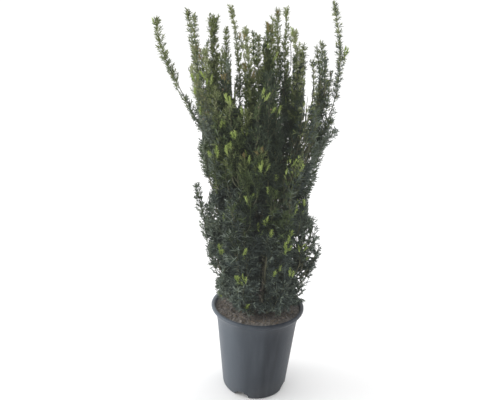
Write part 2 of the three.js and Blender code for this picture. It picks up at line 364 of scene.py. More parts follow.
def soil_surface(x, y):
    """Height of the compost's surface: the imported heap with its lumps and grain."""
    inward = min(1, SOIL_HEAPED / max(math.hypot(x, y), 1e-6))
    heaped = drop(packed_soil, x * inward, y * inward, soil_top - 0.006)
    lumps = noise.fractal(Vector((x, y, 0.3)) * 55, 1.0, 2.0, 3)
    grain = noise.fractal(Vector((x, y, 0.7)) * 260, 0.8, 2.0, 3)
    return heaped + SOIL_LUMPS * lumps + SOIL_GRAIN * grain


def soil_mesh():
    """The root ball as one closed body: its rough top, and smooth sides down to the pot's floor."""
    angles = np.arange(SOIL_SIDES) * 2 * math.pi / SOIL_SIDES
    points = []
    for ring in range(1, SOIL_RINGS + 1):
        radius = soil_edge * (ring / SOIL_RINGS) ** 0.8
        for angle in angles:
            x, y = radius * math.cos(angle), radius * math.sin(angle)
            points.append((x, y, soil_surface(x, y)))
    behind_arches = BASE - ARCH_DEEP - 0.003
    wall = [
        (NECK - WALL - 0.0012, collar_under - 0.004),
        (BASE - WALL + 0.0002, ARCH_HEIGHT + 0.006),
        (behind_arches, ARCH_HEIGHT + 0.001),
        (behind_arches, SOIL_FLOOR),
    ]
    for radius, z in wall:
        points.extend((radius * math.cos(angle), radius * math.sin(angle), z) for angle in angles)
    rings = SOIL_RINGS + len(wall)
    points.append((0, 0, soil_surface(0, 0)))
    points.append((0, 0, SOIL_FLOOR))
    faces = ring_faces(rings, SOIL_SIDES, len(points) - 2, len(points) - 1)
    return skin("soil", np.array(points), faces[:, ::-1])


def compost_look(blank, dark, pale):
    blots = blank.clouds(150, 6, 0.65)
    fibres = blank.clouds(420, 4, 0.6, stretch=(1, 0.3, 1)).between(0.52, 0.7)
    mixed = blots.between(0.35, 0.7).blend(dark, pale)
    rough = blank.clouds(900, 4) + blots * 2
    return {
        "Base Color": (fibres * 0.25).blend(mixed, tone(134, 127, 117)),
        "Roughness": 0.86 + fibres * 0.1,
        "Normal": rough.relief(0.0010, 0.8),
    }


def scatter(count, reach):
    """Places strewn evenly over the compost, as (count, 2) metres."""
    angle = soil_random.uniform(0, 2 * math.pi, count)
    radius = reach * np.sqrt(soil_random.uniform(0, 1, count))
    return np.stack([radius * np.cos(angle), radius * np.sin(angle)], 1)


def unit(vectors):
    return vectors / np.maximum(np.linalg.norm(vectors, axis=-1, keepdims=True), 1e-9)


def tumbled(count, tilt):
    """Frames for things that lie about: any heading, tipped up to this many radians. (count, 3, 3)"""
    heading = soil_random.uniform(0, 2 * math.pi, count)
    along = unit(np.stack([np.cos(heading), np.sin(heading), soil_random.normal(0, tilt, count)], 1))
    tip = soil_random.normal(0, tilt, (2, count))[0]
    across = unit(np.cross(np.stack([tip, tip, np.ones(count)], 1), along))
    return np.stack([along, across, np.cross(along, across)], 1)


def strewn_blocks(places, sizes, tilt, lift):
    """Irregular little blocks lying on the soil: the points and triangles of all of them."""
    corner = np.array([(x, y, z) for z in (-1, 1) for y in (-1, 1) for x in (-1, 1)], float) / 2
    corner = corner[None] * soil_random.uniform(0.55, 1.15, (len(places), 8, 3))
    points = np.einsum("nci,nij->ncj", corner * sizes[:, None, :], tumbled(len(places), tilt))
    points[:, :, :2] += places[:, None]
    points[:, :, 2] += lift[:, None]
    box = [(0, 2, 1), (1, 2, 3), (4, 5, 6), (5, 7, 6), (0, 1, 4), (1, 5, 4)]
    box += [(2, 6, 3), (3, 6, 7), (0, 4, 2), (2, 4, 6), (1, 3, 5), (3, 7, 5)]
    faces = np.array(box)[None] + np.arange(len(places))[:, None, None] * 8
    return points.reshape(-1, 3), faces.reshape(-1, 3)


compost = finish("compost", compost_look, (90, 86, 82), (126, 121, 115))
soil = put_in("compost_body", soil_mesh(), compost, ["compost"])
bpy.context.view_layer.update()
loose_soil = BVHTree.FromObject(soil, bpy.context.evaluated_depsgraph_get())


def on_soil(spots, lift):
    """Heights of things that lie on the compost at these places, raised by their own lift."""
    return np.array([drop(loose_soil, x, y, soil_top) for x, y in spots]) + lift


for name, count, long, dark, pale in [
    ("bark_chips_dark", CHIP_COUNT, CHIP_LONG, (88, 83, 79), (114, 108, 102)),
    ("bark_chips_pale", CHIP_COUNT // 3, CHIP_LONG, (100, 95, 89), (122, 116, 108)),
    ("compost_crumbs", CRUMB_COUNT, CRUMB_WIDE, (84, 80, 77), (112, 107, 101)),
]:
    spots = scatter(count, soil_edge - 0.004)
    length = soil_random.uniform(*long, count)
    thin = length * soil_random.uniform(0.25, 0.6, count)
    blocks = np.stack([length, thin, np.minimum(thin, CHIP_THICK)], 1)
    chips = skin(name, *strewn_blocks(spots, blocks, 0.28, on_soil(spots, 0.0004)), smooth=False)
    put_in(name, chips, finish(name, compost_look, dark, pale))

# ---------------------------------------------------------------- trunk and boughs
# Yew wood under a thin bark that comes away in small flakes, with rusty red patches where a flake has
# fallen. Its colours are painted light: a near-white grey-beige, far paler than the bark itself, that
# lifts the limbs out of the crown's deep shade so that they show olive-brown. The trunk rises whole to
# its fork and the boughs leave it.

LIMBS = sorted(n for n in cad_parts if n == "trunk" or n.startswith("bough_"))
FLAKE_DEPTH = 0.0007


def bark(blank):
    flakes = blank.clouds(420, 5, 0.6, stretch=(1, 1, 0.28))
    ridges = blank.clouds(900, 3, 0.6, stretch=(1, 1, 0.12))
    rusty = flakes.between(0.52, 0.68)
    # Painted light: both bark tones are near-white, lifting the limbs out of the crown's shade.
    weathered_and_painted_light = ridges.between(0.3, 0.75).blend(tone(184, 181, 156), tone(222, 219, 196))
    return {
        "Base Color": (rusty * 0.20).blend(weathered_and_painted_light, tone(146, 116, 90)),
        "Roughness": 0.74 + ridges * 0.16,
        "Normal": (flakes + ridges * 0.5).relief(0.0014, 0.9),
    }


def limb_mesh(names):
    """The limbs' own solids joined, rounded by subdivision and roughened by flakes of bark."""
    points = []
    faces = []
    for limb in names:
        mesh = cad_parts[limb].data
        start = len(points)
        places = {}
        numbers = []
        for vertex in mesh.vertices:
            key = tuple(round(value, 6) for value in vertex.co)
            if key not in places:
                places[key] = start + len(places)
                points.append(key)
            numbers.append(places[key])
        for polygon in mesh.polygons:
            faces.append([numbers[corner] for corner in polygon.vertices])
    joined_limbs = bpy.data.meshes.new("bark")
    joined_limbs.from_pydata(points, [], faces)
    joined_limbs.validate()
    rough = bpy.data.objects.new("bark", joined_limbs)
    bpy.context.scene.collection.objects.link(rough)
    rounding = rough.modifiers.new("rounding", "SUBSURF")
    rounding.levels = 2
    rounding.render_levels = 2
    bpy.context.view_layer.update()
    settled = as_built(rough)
    bpy.data.objects.remove(rough)
    for vertex in settled.vertices:
        x, y, z = vertex.co
        flake = noise.fractal(Vector((x * 260, y * 260, z * 90)), 0.9, 2.1, 3)
        vertex.co += vertex.normal * FLAKE_DEPTH * flake
    settled.polygons.foreach_set("use_smooth", np.full(len(settled.polygons), True))
    return settled


put_in("trunk_and_boughs", limb_mesh(LIMBS), finish("bark", bark), LIMBS)

# ---------------------------------------------------------------- plan of the plant
# A yew bred to grow upright holds its leaders side by side, in lapping storeys. The frame's masses say
# where each part stands and how far it reaches. A few slim shoots lean off the line of their mass.

CROWN_MASSES = sorted(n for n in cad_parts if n.startswith(("crown_", "middle_")))
SKIRT_MASSES = sorted(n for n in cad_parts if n.startswith("skirt_"))
PLUMES = sorted(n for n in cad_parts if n.startswith(("shoot_", "spray_")))
UP = np.array((0.0, 0.0, 1.0))
CROWN_AXIS = np.array((-0.006, 0.0))
STOREY = 0.04
STOREYS = 30
BEARINGS = 16
SECTIONS = 26

# How far a shoot leans to the right, in millimetres, at each of these hundredths of its height.
LEANS = {
    "shoot_far_left": ((30, 50, 62, 80, 90, 100), (0, -3, -9, -9.5, -4, -1)),
    "shoot_far_right": ((10, 25, 45, 60, 78, 100), (0, 6, 9, 7, 3, -3)),
    "shoot_left_outer": ((20, 40, 75, 100), (0, 6, 6, 0)),
    "shoot_left_square": ((30, 50, 80, 100), (0, 3, 4, 0)),
    "shoot_left_inner": ((50, 80, 100), (0, 3, 1)),
    "shoot_gap_slim": ((30, 50, 65, 75, 92, 100), (0, 3, 4, 6, 6, 3)),
    "shoot_centre_front": ((50, 80, 100), (0, -3, -4)),
    "shoot_right_front": ((70, 85, 100), (0, -4, -11)),
    "shoot_left_tall": ((40, 80, 100), (0, -3, -2)),
}


def solid_of(node):
    """A CAD node's points and triangles as arrays."""
    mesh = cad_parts[node].data
    mesh.calc_loop_triangles()
    points = np.empty(len(mesh.vertices) * 3)
    mesh.vertices.foreach_get("co", points)
    triangles = np.empty(len(mesh.loop_triangles) * 3, np.int32)
    mesh.loop_triangles.foreach_get("vertices", triangles)
    points = points.reshape(-1, 3)
    if node in LEANS:
        share, across = LEANS[node]
        risen = (points[:, 2] - points[:, 2].min()) / np.ptp(points[:, 2])
        points[:, 0] += np.interp(risen, np.array(share) / 100, np.array(across) / 1000)
    return points, triangles.reshape(-1, 3)


def surface_of(node):
    return BVHTree.FromPolygons(*[part.tolist() for part in solid_of(node)])


def section(points, triangles, z):
    """Centre and mean radius of a solid's level section at a height, or None where it has none."""
    corners = points[triangles]
    above = corners[:, :, 2] > z
    crossed = corners[above.any(1) & ~above.all(1)]
    if not len(crossed):
        return None
    normal = np.cross(crossed[:, 1] - crossed[:, 0], crossed[:, 2] - crossed[:, 0])
    ends = []
    for first, second in ((0, 1), (1, 2), (2, 0)):
        a, b = crossed[:, first], crossed[:, second]
        cuts = (a[:, 2] > z) != (b[:, 2] > z)
        rise = np.where(cuts, b[:, 2] - a[:, 2], 1)
        ends.append((cuts, a + (b - a) * ((z - a[:, 2]) / rise)[:, None]))
    start = np.where(ends[0][0][:, None], ends[0][1], ends[1][1])[:, :2]
    end = np.where(ends[2][0][:, None], ends[2][1], ends[1][1])[:, :2]
    round_it = np.stack([-normal[:, 1], normal[:, 0]], 1)
    backwards = ((end - start) * round_it).sum(1) < 0
    start[backwards], end[backwards] = end[backwards].copy(), start[backwards].copy()
    turned = start[:, 0] * end[:, 1] - start[:, 1] * end[:, 0]
    area = turned.sum() / 2
    if abs(area) < 1e-8:
        return None
    centre = ((start + end) * turned[:, None]).sum(0) / (6 * area)
    return centre, math.sqrt(abs(area) / math.pi)


class Line:
    """The line that a solid follows upwards, with its radius, from its foot to its tip."""

    def __init__(self, node):
        points, triangles = solid_of(node)
        self.low, self.high = points[:, 2].min(), points[:, 2].max()
        edge = 0.015 * (self.high - self.low)
        heights = np.linspace(self.low + edge, self.high - edge, SECTIONS)
        found = [(z, section(points, triangles, z)) for z in heights]
        self.z = np.array([z for z, cut in found if cut])
        self.centre = np.array([cut[0] for _, cut in found if cut])
        self.radius = np.array([cut[1] for _, cut in found if cut])

    def at(self, z):
        x = np.interp(z, self.z, self.centre[:, 0])
        y = np.interp(z, self.z, self.centre[:, 1])
        return np.stack([x, y, np.broadcast_to(z, x.shape)], -1)


def bearing_and_storey(points):
    offset = points[..., :2] - CROWN_AXIS
    turn_share = np.arctan2(offset[..., 1], offset[..., 0]) / (2 * math.pi) + 0.5
    bearing = (turn_share * BEARINGS).astype(int) % BEARINGS
    return bearing, np.clip((points[..., 2] / STOREY).astype(int), 0, STOREYS - 1)


def outer_reach():
    """How far the masses reach from the plant's middle, by storey and by bearing."""
    everything = np.concatenate([solid_of(n)[0] for n in CROWN_MASSES + SKIRT_MASSES + PLUMES])
    bearing, storey = bearing_and_storey(everything)
    reach = np.zeros((STOREYS, BEARINGS))
    np.maximum.at(reach, (storey, bearing), np.linalg.norm(everything[:, :2] - CROWN_AXIS, axis=1))
    reach = np.maximum(reach, reach.max(1, keepdims=True) * 0.6)
    reach = (reach + np.roll(reach, 1, 1) + np.roll(reach, -1, 1)) / 3
    reach[1:-1] = (reach[1:-1] * 2 + reach[:-2] + reach[2:]) / 4
    return reach


REACH = outer_reach()
limb_lines = [Line(limb) for limb in LIMBS]
limb_spots = np.concatenate([line.at(np.linspace(line.low, line.high, 24)) for line in limb_lines])


def depth(points):
    """How deep points lie in the plant, measured in from the outline towards its middle."""
    bearing, storey = bearing_and_storey(points)
    return REACH[storey, bearing] - np.linalg.norm(points[..., :2] - CROWN_AXIS, axis=-1)


# ---------------------------------------------------------------- crown and skirt
# Each leader starts from the real limb nearest to it and follows the line of its mass. Sprays ring it
# and bend up at once, and short twigs line each spray. Both stop near the mass's own surface, and leave
# open the gap before the bare stem and the slots between the shoots.

LEADER_STEPS = 16
RING_LEADERS = 5
RING_SHARE = 0.56
LEADER_FREE = {"crown": (0.02, 0.12), "middle": (0.0, 0.050), "skirt": (-0.01, 0.004)}
LEADER_THIN = 0.0009
LEADER_INSIDE = 0.10
SPRAY_SPACING = 0.0175
SPRAY_LONG = (0.022, 0.100)
SPRAY_CLEAR = 0.005
SPRAY_RISE = 0.66
TWIG_SPACING = 0.0064
TWIG_LONG = (0.009, 0.024)
GOLDEN = math.pi * (3 - math.sqrt(5))
BURIED = 0.072
LOOSE = {"middle_right": 0.75, "skirt_right": 0.75, "skirt_left": 0.9, "crown_right": 0.95}
STRETCHED = {"middle_right": 0.010, "skirt_right": 0.014, "crown_right": 0.010, "skirt_left": 0.005}

# At the back the sprays fill the waist between two storeys: its height, half its height, how far out.
WAIST = (0.605, 0.035, 0.016)

# Where the bare stem stands (x, y), between which heights it shows, and how far the shoots and the
# needles keep to its left and right.
STEM_AT = (0.012, -0.022)
STEM_SHOWS = (0.275, 0.425)
STEM_GAP = 0.0105
STEM_CLEAR = 0.0042

# The camera's picture is 500 by 400 pixels. Each slot of sky is a box in it: left, top, right, bottom.
PICTURE_MIDDLE = (250, 200)
PICTURE_FOCUS = 430
SKY_SLOTS = (
    (306, 60, 309, 70), (305, 70, 312, 104), (304, 96, 308, 117), (281, 16, 285, 30),
    (198, 131, 203, 139), (231, 44, 235, 98), (235, 96, 238, 108), (289, 43, 293, 76),
    (178, 60, 190, 92), (202, 183, 210, 201), (308, 198, 322, 215), (204, 273, 216, 290),
)

growth = np.random.default_rng(2024)
shoots = []


def as_seen(points):
    """Where points stand in the picture, across and down from its upper left, and how far away."""
    seen = (points - np.array(EYE)) @ np.array(camera.matrix_world.to_3x3())
    across = PICTURE_MIDDLE[0] - PICTURE_FOCUS * seen[..., 0] / seen[..., 2]
    down = PICTURE_MIDDLE[1] + PICTURE_FOCUS * seen[..., 1] / seen[..., 2]
    return across, down, -seen[..., 2]


def before_stem(points, gap):
    """Which points would hide the bare stem, within this distance to its left and right."""
    nearer = (STEM_AT[1] - points[..., 1]) / (STEM_AT[1] - EYE.y)
    line = STEM_AT[0] + (EYE.x - STEM_AT[0]) * nearer
    height = (points[..., 2] - EYE.z * nearer) / (1 - nearer)
    before = (nearer > 0.012) & (height > STEM_SHOWS[0]) & (height < STEM_SHOWS[1])
    return before & (abs(points[..., 0] - line) < gap * (1 - nearer))


def in_sky(points, inset):
    """Which points lie in a slot of sky, drawn in at its sides by a number of pixels."""
    inside = np.zeros(points.shape[:-1], bool)
    across, down, _ = as_seen(points)
    for left, top, right, bottom in SKY_SLOTS:
        between_sides = (across > left + inset) & (across < right - inset)
        inside |= between_sides & (down > top) & (down < bottom)
    return inside


def keep_shoots(grade, zone, points, thick, thin, luck):
    """Notes a batch of shoots, to be turned into wood and clothed with needles further down."""
    later = points[:, 1:]
    closing = (before_stem(later, STEM_GAP) | in_sky(later, 0)).any(1)
    kept = ~closing | (grade in ("leader", "plume"))
    thick = np.broadcast_to(thick, len(points))[kept]
    thin = np.broadcast_to(thin, len(points))[kept]
    shoots.append((grade, zone, points[kept], thick, thin, luck[kept]))


def grow(starts, headings, lengths, lift, steps, wander=0.05):
    """Shoots that set off on their headings and turn up by their lift, as (count, steps + 1, 3)."""
    heading = unit(headings)
    points = [starts]
    for _ in range(steps):
        turned_up = heading + UP * (np.broadcast_to(lift, len(starts)) / steps)[:, None]
        heading = unit(turned_up + growth.normal(0, wander, heading.shape))
        points.append(points[-1] + heading * (lengths / steps)[:, None])
    return np.stack(points, 1)


def offshoots(stems, spacing, first, last, flat=0.0, whorl=1, random=growth):
    """Places for side shoots: the stem's number, how far along, the point, ahead and outwards."""
    runs = np.maximum(np.linalg.norm(np.diff(stems, axis=1), axis=2), 1e-7)
    travelled = np.concatenate([np.zeros((len(stems), 1)), np.cumsum(runs, 1)], 1)
    length = travelled[:, -1]
    number = np.maximum((length * (last - first) / spacing).astype(int), 1)
    stem = np.repeat(np.arange(len(stems)), number)
    order = np.arange(number.sum()) - np.repeat(np.cumsum(number) - number, number)
    joint, place = order // whorl, order % whorl
    loose = random.uniform(*(0.2, 0.8) if whorl == 1 else (0.4, 0.6), len(order))
    share = first + (last - first) * (joint + loose) / np.ceil(number[stem] / whorl)
    went = share * length[stem]
    before = np.clip((travelled[stem] <= went[:, None]).sum(1) - 1, 0, stems.shape[1] - 2)
    rest = (went - travelled[stem, before]) / runs[stem, before]
    a, b = stems[stem, before], stems[stem, before + 1]
    ahead = unit(b - a)
    level = unit(np.cross(ahead, UP) + ahead[:, [1, 2, 0]] * 1e-3)
    top = np.cross(level, ahead)
    turned = joint * GOLDEN + place * 2 * math.pi / whorl + stem * 2.4
    turned = turned + random.normal(0, 0.25, len(order))
    out = unit(level * np.cos(turned)[:, None] + top * (np.sin(turned) * (1 - flat))[:, None])
    return stem, share, a + (b - a) * rest[:, None], ahead, out


def splayed(ahead, out, steep):
    """Headings that leave a stem at an angle, in radians."""
    return ahead * np.cos(steep)[:, None] + out * np.sin(steep)[:, None]


def room_in(tree, starts, ways, outside):
    """How far each shoot can go before it meets its mass's surface, or the given room outside it."""
    room = np.full(len(starts), outside)
    for number, (start, way) in enumerate(zip(starts, ways) if tree else ()):
        place, normal, _, distance = tree.ray_cast(Vector(start), Vector(way))
        if place is not None and normal.dot(Vector(way)) > 0:
            room[number] = distance
    return room


def rooted(stem, spots):
    """A stem with its hidden part added below: a curve up to it from the nearest of the spots."""
    foot = stem[0]
    too_high = np.maximum(0, spots[:, 2] - foot[2] + 0.03)
    limb = spots[(np.linalg.norm(spots - foot, axis=1) + 1.5 * too_high).argmin()]
    bend = foot - unit(stem[1] - foot) * np.linalg.norm(foot - limb) * 0.5
    t = np.linspace(0, 1, 7)[:-1, None]
    return np.concatenate([(1 - t) ** 2 * limb + 2 * t * (1 - t) * bend + t**2 * foot, stem])


def sway(steps, size):
    """A gentle sideways wander that grows along a leader."""
    phase = growth.uniform(0, 2 * math.pi, (2, 2))
    t = np.linspace(0, 1, steps + 1)[:, None]
    bends = np.sin(2.6 * math.pi * t * (0.5, 0.6) + phase[0]) + 0.5 * np.sin(7 * t + phase[1])
    return np.concatenate([bends * size * t, np.zeros((steps + 1, 1))], 1)


def leaders_of(node, ring, ring_share, tops):
    """Leaders of a mass or plume: one up its middle and a ring round it, each with its own top."""
    line = Line(node)
    widest = np.maximum.accumulate(line.radius)
    stems = []
    for number in range(ring + 1):
        share = 0 if number == 0 else ring_share * growth.uniform(0.8, 1.2)
        angle = number * 2 * math.pi / max(ring, 1) + growth.uniform(-0.5, 0.5)
        within = share * widest <= 0.86 * line.radius
        last = line.z[within][-1] if number and within.any() else line.high
        height = np.linspace(line.low + 0.004, last + tops[number], LEADER_STEPS + 1)
        away = share * np.interp(height, line.z, widest)
        swing = np.stack([np.cos(angle) * away, np.sin(angle) * away, away * 0], 1)
        stems.append(line.at(height) + swing + sway(LEADER_STEPS, 0.0025))
    return np.array(stems)


def add_twigs(sprays, luck, zone, tree, spacing=TWIG_SPACING):
    """The short twigs along sprays."""
    stem, share, start, ahead, out = offshoots(sprays, spacing, 0.16, 0.96, 0.3)
    long = np.linalg.norm(np.diff(sprays, axis=1), axis=2).sum(1)[stem]
    heading = splayed(ahead, out, growth.uniform(0.68, 1.02, len(stem)))
    reach = np.clip(0.36 * (1 - share) * long + 0.010, *TWIG_LONG)
    reach *= growth.uniform(0.75, 1.15, len(stem))
    reach *= np.interp(start[:, 2], (0.35, 0.60), (1.35, 1.0))
    if tree:
        room = room_in(tree, start, heading, 0.016)
        at_edge = depth(start + heading * room[:, None]) < 0.03
        reach = np.where(at_edge, np.minimum(reach, np.maximum(room + 0.002, 0.009)), reach)
    twigs = grow(start, heading, reach, growth.uniform(0.15, 0.40, len(stem)), 2)
    own_luck = np.clip(luck[stem] + growth.normal(0, 0.04, len(stem)), 0, 0.999)
    keep_shoots("twig", zone, twigs, 0.0008, 0.0004, own_luck)


for node in CROWN_MASSES + SKIRT_MASSES:
    zone = "skirt" if node in SKIRT_MASSES else "crown"
    own_surface = surface_of(node)
    tops = growth.uniform(*LEADER_FREE[node.split("_")[0]], RING_LEADERS + 1)
    if node == "crown_heart" or node in LOOSE:
        tops -= 0.03
    leaders = leaders_of(node, RING_LEADERS, RING_SHARE, tops)
    middle = leaders[:, LEADER_STEPS // 2]
    leaders = leaders[(depth(middle) < LEADER_INSIDE) | (np.arange(len(leaders)) == 0)]
    full = np.array([rooted(stem, limb_spots) for stem in leaders])
    leader_luck = growth.uniform(0, 0.999, len(leaders))
    keep_shoots("leader", zone, full, LEADER_THIN * 3, LEADER_THIN, leader_luck)

    spacing = SPRAY_SPACING / LOOSE.get(node, 1)
    stem, share, start, ahead, out = offshoots(leaders, spacing, 0.02, 0.985)
    low = np.clip((0.40 - start[:, 2]) / 0.13, 0, 1)
    lift = growth.uniform(1.2, 2.0, len(stem)) * (1 - 0.9 * low)
    heading = splayed(unit(out * (1, 1, 0)), UP, SPRAY_RISE - SPRAY_RISE * low)
    aim = unit(heading + UP * (lift * 0.5)[:, None])
    room = room_in(own_surface, start, aim, 0.034)
    inwards = depth(start + aim * room[:, None]) > 0.016
    clear = STRETCHED.get(node, 0) - SPRAY_CLEAR
    if "back" in node:
        clear = clear + WAIST[2] * np.exp(-(((start[:, 2] - WAIST[0]) / WAIST[1]) ** 2))
    reach = np.clip(room + np.where(inwards, 0.014, clear), *SPRAY_LONG)
    reach *= growth.uniform(0.82, 1.08, len(stem))
    to_top = np.linalg.norm(leaders[stem, -1] - start, axis=1)
    reach = np.minimum(reach, 0.014 + 0.6 * to_top)
    kept = depth(start + aim * reach[:, None]) < BURIED * growth.uniform(0.8, 1.2, len(stem))
    sprays = grow(start[kept], heading[kept], reach[kept], lift[kept], 4)
    luck = 0.45 * leader_luck[stem[kept]] + 0.55 * growth.uniform(0, 0.999, len(sprays))
    keep_shoots("spray", zone, sprays, 0.0010 + reach[kept] * 0.008, 0.0006, luck)
    add_twigs(sprays, luck, zone, own_surface)

# ---------------------------------------------------------------- upright shoots
# Slim leaders that stand clear above the crown, clothed from foot to tip in whorls of short tufts. The
# smaller ones fork off beside them, and a few more fill the outline lower down.

TUFT_SPACING = 0.0048
TUFT_LONG = (0.008, 0.024)
TIP_CLEAR = 0.010
SHOOT_THIN = 0.0008

# How many leaders stand round the middle one, in a shoot no thicker than this.
PLUME_RINGS = ((0.0165, 0), (0.0195, 2), (0.0235, 3), (1, 4))

# Which shoots bear paler or darker needles than most, as painted light and shade where the crown is
# lit or shaded, are fuller by so much, or are bare at the foot.
LUCK_OF = {
    "shoot_far_left": 1.2,
    "shoot_left_square": 0.9,
    "shoot_left_inner": 0.9,
    "shoot_centre_peak": 0.9,
    "shoot_centre_tall": 0.9,
    "shoot_back_right": 0.8,
    "shoot_right_front": 1.15,
    "shoot_back_left": 0.6,
    "shoot_back_middle": 0.6,
}
WIDER = {
    "spray_low_left": 0.009,
    "shoot_far_left": 0.004,
    "shoot_left_tall": 0.002,
    "shoot_left_square": 0.003,
    "shoot_left_inner": 0.003,
    "shoot_centre_front": 0.003,
    "shoot_centre_full": 0.004,
    "shoot_centre_tall": 0.004,
    "shoot_centre_back": 0.004,
    "shoot_back_middle": 0.004,
    "shoot_right_front": 0.004,
}
BARE_FEET = {"shoot_far_right": 0.36}

# Each side shoot's foot (x, y, z), its tip (x, y, z) and how far its tufts reach, in millimetres.
SIDE_SHOOTS = (
    (-149, -5, 993, -158, -5, 1058, 5), (-146, -10, 997, -142, -10, 1057, 5),
    (-38, -85, 943, -45, -90, 1016, 9), (-171, -10, 896, -180, -10, 974, 7),
    (-166, -10, 942, -162, -10, 996, 5), (-123, -20, 913, -125, -20, 978, 6),
    (149, -10, 904, 142, -10, 984, 6), (1, -30, 992, 3, -30, 1058, 6),
    (-13, -50, 970, -19, -55, 1005, 8), (53, -50, 949, 51, -50, 1008, 6),
    (80, -90, 915, 81, -95, 973, 6), (134, -20, 923, 122, -20, 992, 6),
    (159, 0, 842, 166, 0, 935, 9), (132, -35, 715, 178, -45, 790, 20),
    (128, -15, 730, 168, -20, 812, 18), (-150, -30, 642, -174, -40, 725, 15),
    (-146, -60, 652, -158, -75, 740, 18), (108, -20, 565, 130, -30, 643, 18),
    (132, 0, 335, 164, -10, 428, 18), (120, 10, 315, 146, 0, 390, 16),
    (110, -30, 295, 124, -40, 360, 16), (136, -30, 385, 165, -45, 462, 18),
    (96, -50, 284, 124, -60, 308, 14), (102, -10, 280, 133, -15, 312, 15),
    (-120, -30, 358, -145, -40, 435, 14), (186, 0, 968, 198, 0, 983, 5),
    (-69, -60, 978, -72, -60, 1001, 6), (-204, -10, 920, -214, -10, 937, 5),
    (72, -90, 961, 76, -90, 990, 8), (-236, 0, 868, -243, 0, 884, 5),
    (8, -20, 905, 6, -20, 992, 9), (30, -20, 905, 27, -20, 980, 9),
)


def dress(leaders, luck, tree, outside, bare=0.0, wider=0.0):
    """Clothes upright leaders in whorls of short tufts, with a fuller tuft to crown each."""
    stem, share, start, ahead, out = offshoots(leaders, TUFT_SPACING, bare, 0.985, 0.0, 3)
    heading = splayed(ahead, out, growth.uniform(0.75, 1.1, len(stem)))
    room = room_in(tree, start, heading, outside)
    reach = np.clip(room - 0.001 + wider, *TUFT_LONG) * growth.uniform(0.65, 1.1, len(stem))
    tufts = grow(start, heading, reach, growth.uniform(0.3, 0.7, len(stem)), 2)
    own_luck = np.clip(luck[stem] + growth.normal(0, 0.06, len(stem)), 0, 0.999)
    keep_shoots("tuft", "shoot", tufts, 0.0008, 0.0005, own_luck)
    stem, share, start, ahead, out = offshoots(leaders[:, -3:], 0.0028, 0.45, 1.0)
    long = growth.uniform(0.007, 0.011, len(stem))
    crowning = grow(start, ahead + out * 0.8, long, 0.6, 2)
    keep_shoots("tuft", "shoot", crowning, 0.0008, 0.0005, luck[stem])


for node in PLUMES:
    own_surface = surface_of(node)
    box_low, box_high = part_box(node)
    belly = Line(node).radius.max()
    ring = next(ring for limit, ring in PLUME_RINGS if belly < limit)
    tops = np.concatenate([[0], -(box_high.z - box_low.z) * growth.uniform(0.02, 0.36, ring)])
    leaders = leaders_of(node, ring, 0.52, tops - TIP_CLEAR)
    full = np.array([rooted(stem, limb_spots) for stem in leaders])
    luck = np.full(len(leaders), 0.45)
    if node.startswith("shoot"):
        luck = growth.uniform(0.35, 0.999, len(leaders))
    luck = np.minimum(luck * LUCK_OF.get(node, 1), 0.999)
    keep_shoots("leader", "shoot", full[:, :7], SHOOT_THIN * 2.6, SHOOT_THIN * 2, luck)
    keep_shoots("plume", "shoot", leaders, SHOOT_THIN * 2, SHOOT_THIN, luck)
    dress(leaders, luck, own_surface, 0.020, BARE_FEET.get(node, 0.0), WIDER.get(node, 0.0))

standing = [points.reshape(-1, 3) for grade, _, points, *_ in shoots if grade in ("leader", "plume")]
standing = np.concatenate([*standing, limb_spots])
for side_shoot in np.array(SIDE_SHOOTS) / 1000:
    foot, tip, wide = side_shoot[:3], side_shoot[3:6], side_shoot[6]
    stem = foot + (tip - foot) * np.linspace(0, 1, LEADER_STEPS + 1)[:, None]
    stem += sway(LEADER_STEPS, 0.0018)
    luck = growth.uniform(0.3, 0.8, 1)
    hidden = rooted(stem, standing)[None, :7]
    keep_shoots("leader", "shoot", hidden, SHOOT_THIN * 2.2, SHOOT_THIN * 1.8, luck)
    keep_shoots("plume", "shoot", stem[None], SHOOT_THIN * 1.8, SHOOT_THIN, luck)
    dress(stem[None], luck, None, wide)

# ---------------------------------------------------------------- front sprays
# Broad sprays that stand out from the face of the crown: a straight midrib that forks left and right
# by turns, flat to the front, and clothed so closely that each reads as one feather.

FAN_SPACING = 0.011
FAN_THIN = 0.0009

# Each midrib's foot (x, y, z) and its tip (x, y, z), in millimetres.
FRONT_SPRAYS = (
    (-19, -128, 622, -12, -148, 743), (-41, -122, 620, -53, -132, 724),
    (66, -124, 626, 76, -136, 718), (-125, -85, 644, -135, -112, 730),
    (-33, -120, 548, -36, -128, 619), (-68, -116, 719, -74, -134, 780),
    (19, -122, 597, 21, -132, 646), (-50, -120, 775, -57, -124, 835),
    (102, -62, 524, 104, -76, 598), (-84, -118, 673, -91, -128, 742),
    (59, -132, 513, 67, -138, 579),
)

for midrib in np.array(FRONT_SPRAYS) / 1000:
    foot, tip = midrib[:3], midrib[3:]
    stem = foot + (tip - foot) * np.linspace(0, 1, 9)[:, None] + sway(8, 0.0015)
    luck = growth.uniform(0.70, 0.88, 1)
    hidden = rooted(stem, standing)[None, :7]
    keep_shoots("leader", "shoot", hidden, FAN_THIN * 1.6, FAN_THIN * 1.3, luck)
    keep_shoots("fan", "shoot", stem[None], FAN_THIN * 1.2, FAN_THIN * 0.8, luck)
    _, share, start, ahead, _ = offshoots(stem[None], FAN_SPACING, 0.10, 0.85)
    side = np.where(np.arange(len(share)) % 2, 1, -1)[:, None] * (1, 0, 0) + (0, -0.3, 0)
    heading = splayed(ahead, side, growth.uniform(0.42, 0.62, len(share)))
    reach = 0.014 + 0.42 * (1 - share) * np.linalg.norm(tip - foot)
    reach *= growth.uniform(0.8, 1.1, len(share))
    fans = grow(start, heading, reach, 0.35, 4)
    luck = np.clip(luck + growth.normal(0, 0.05, len(share)), 0, 0.999)
    keep_shoots("fan", "shoot", fans, 0.0008, 0.0005, luck)

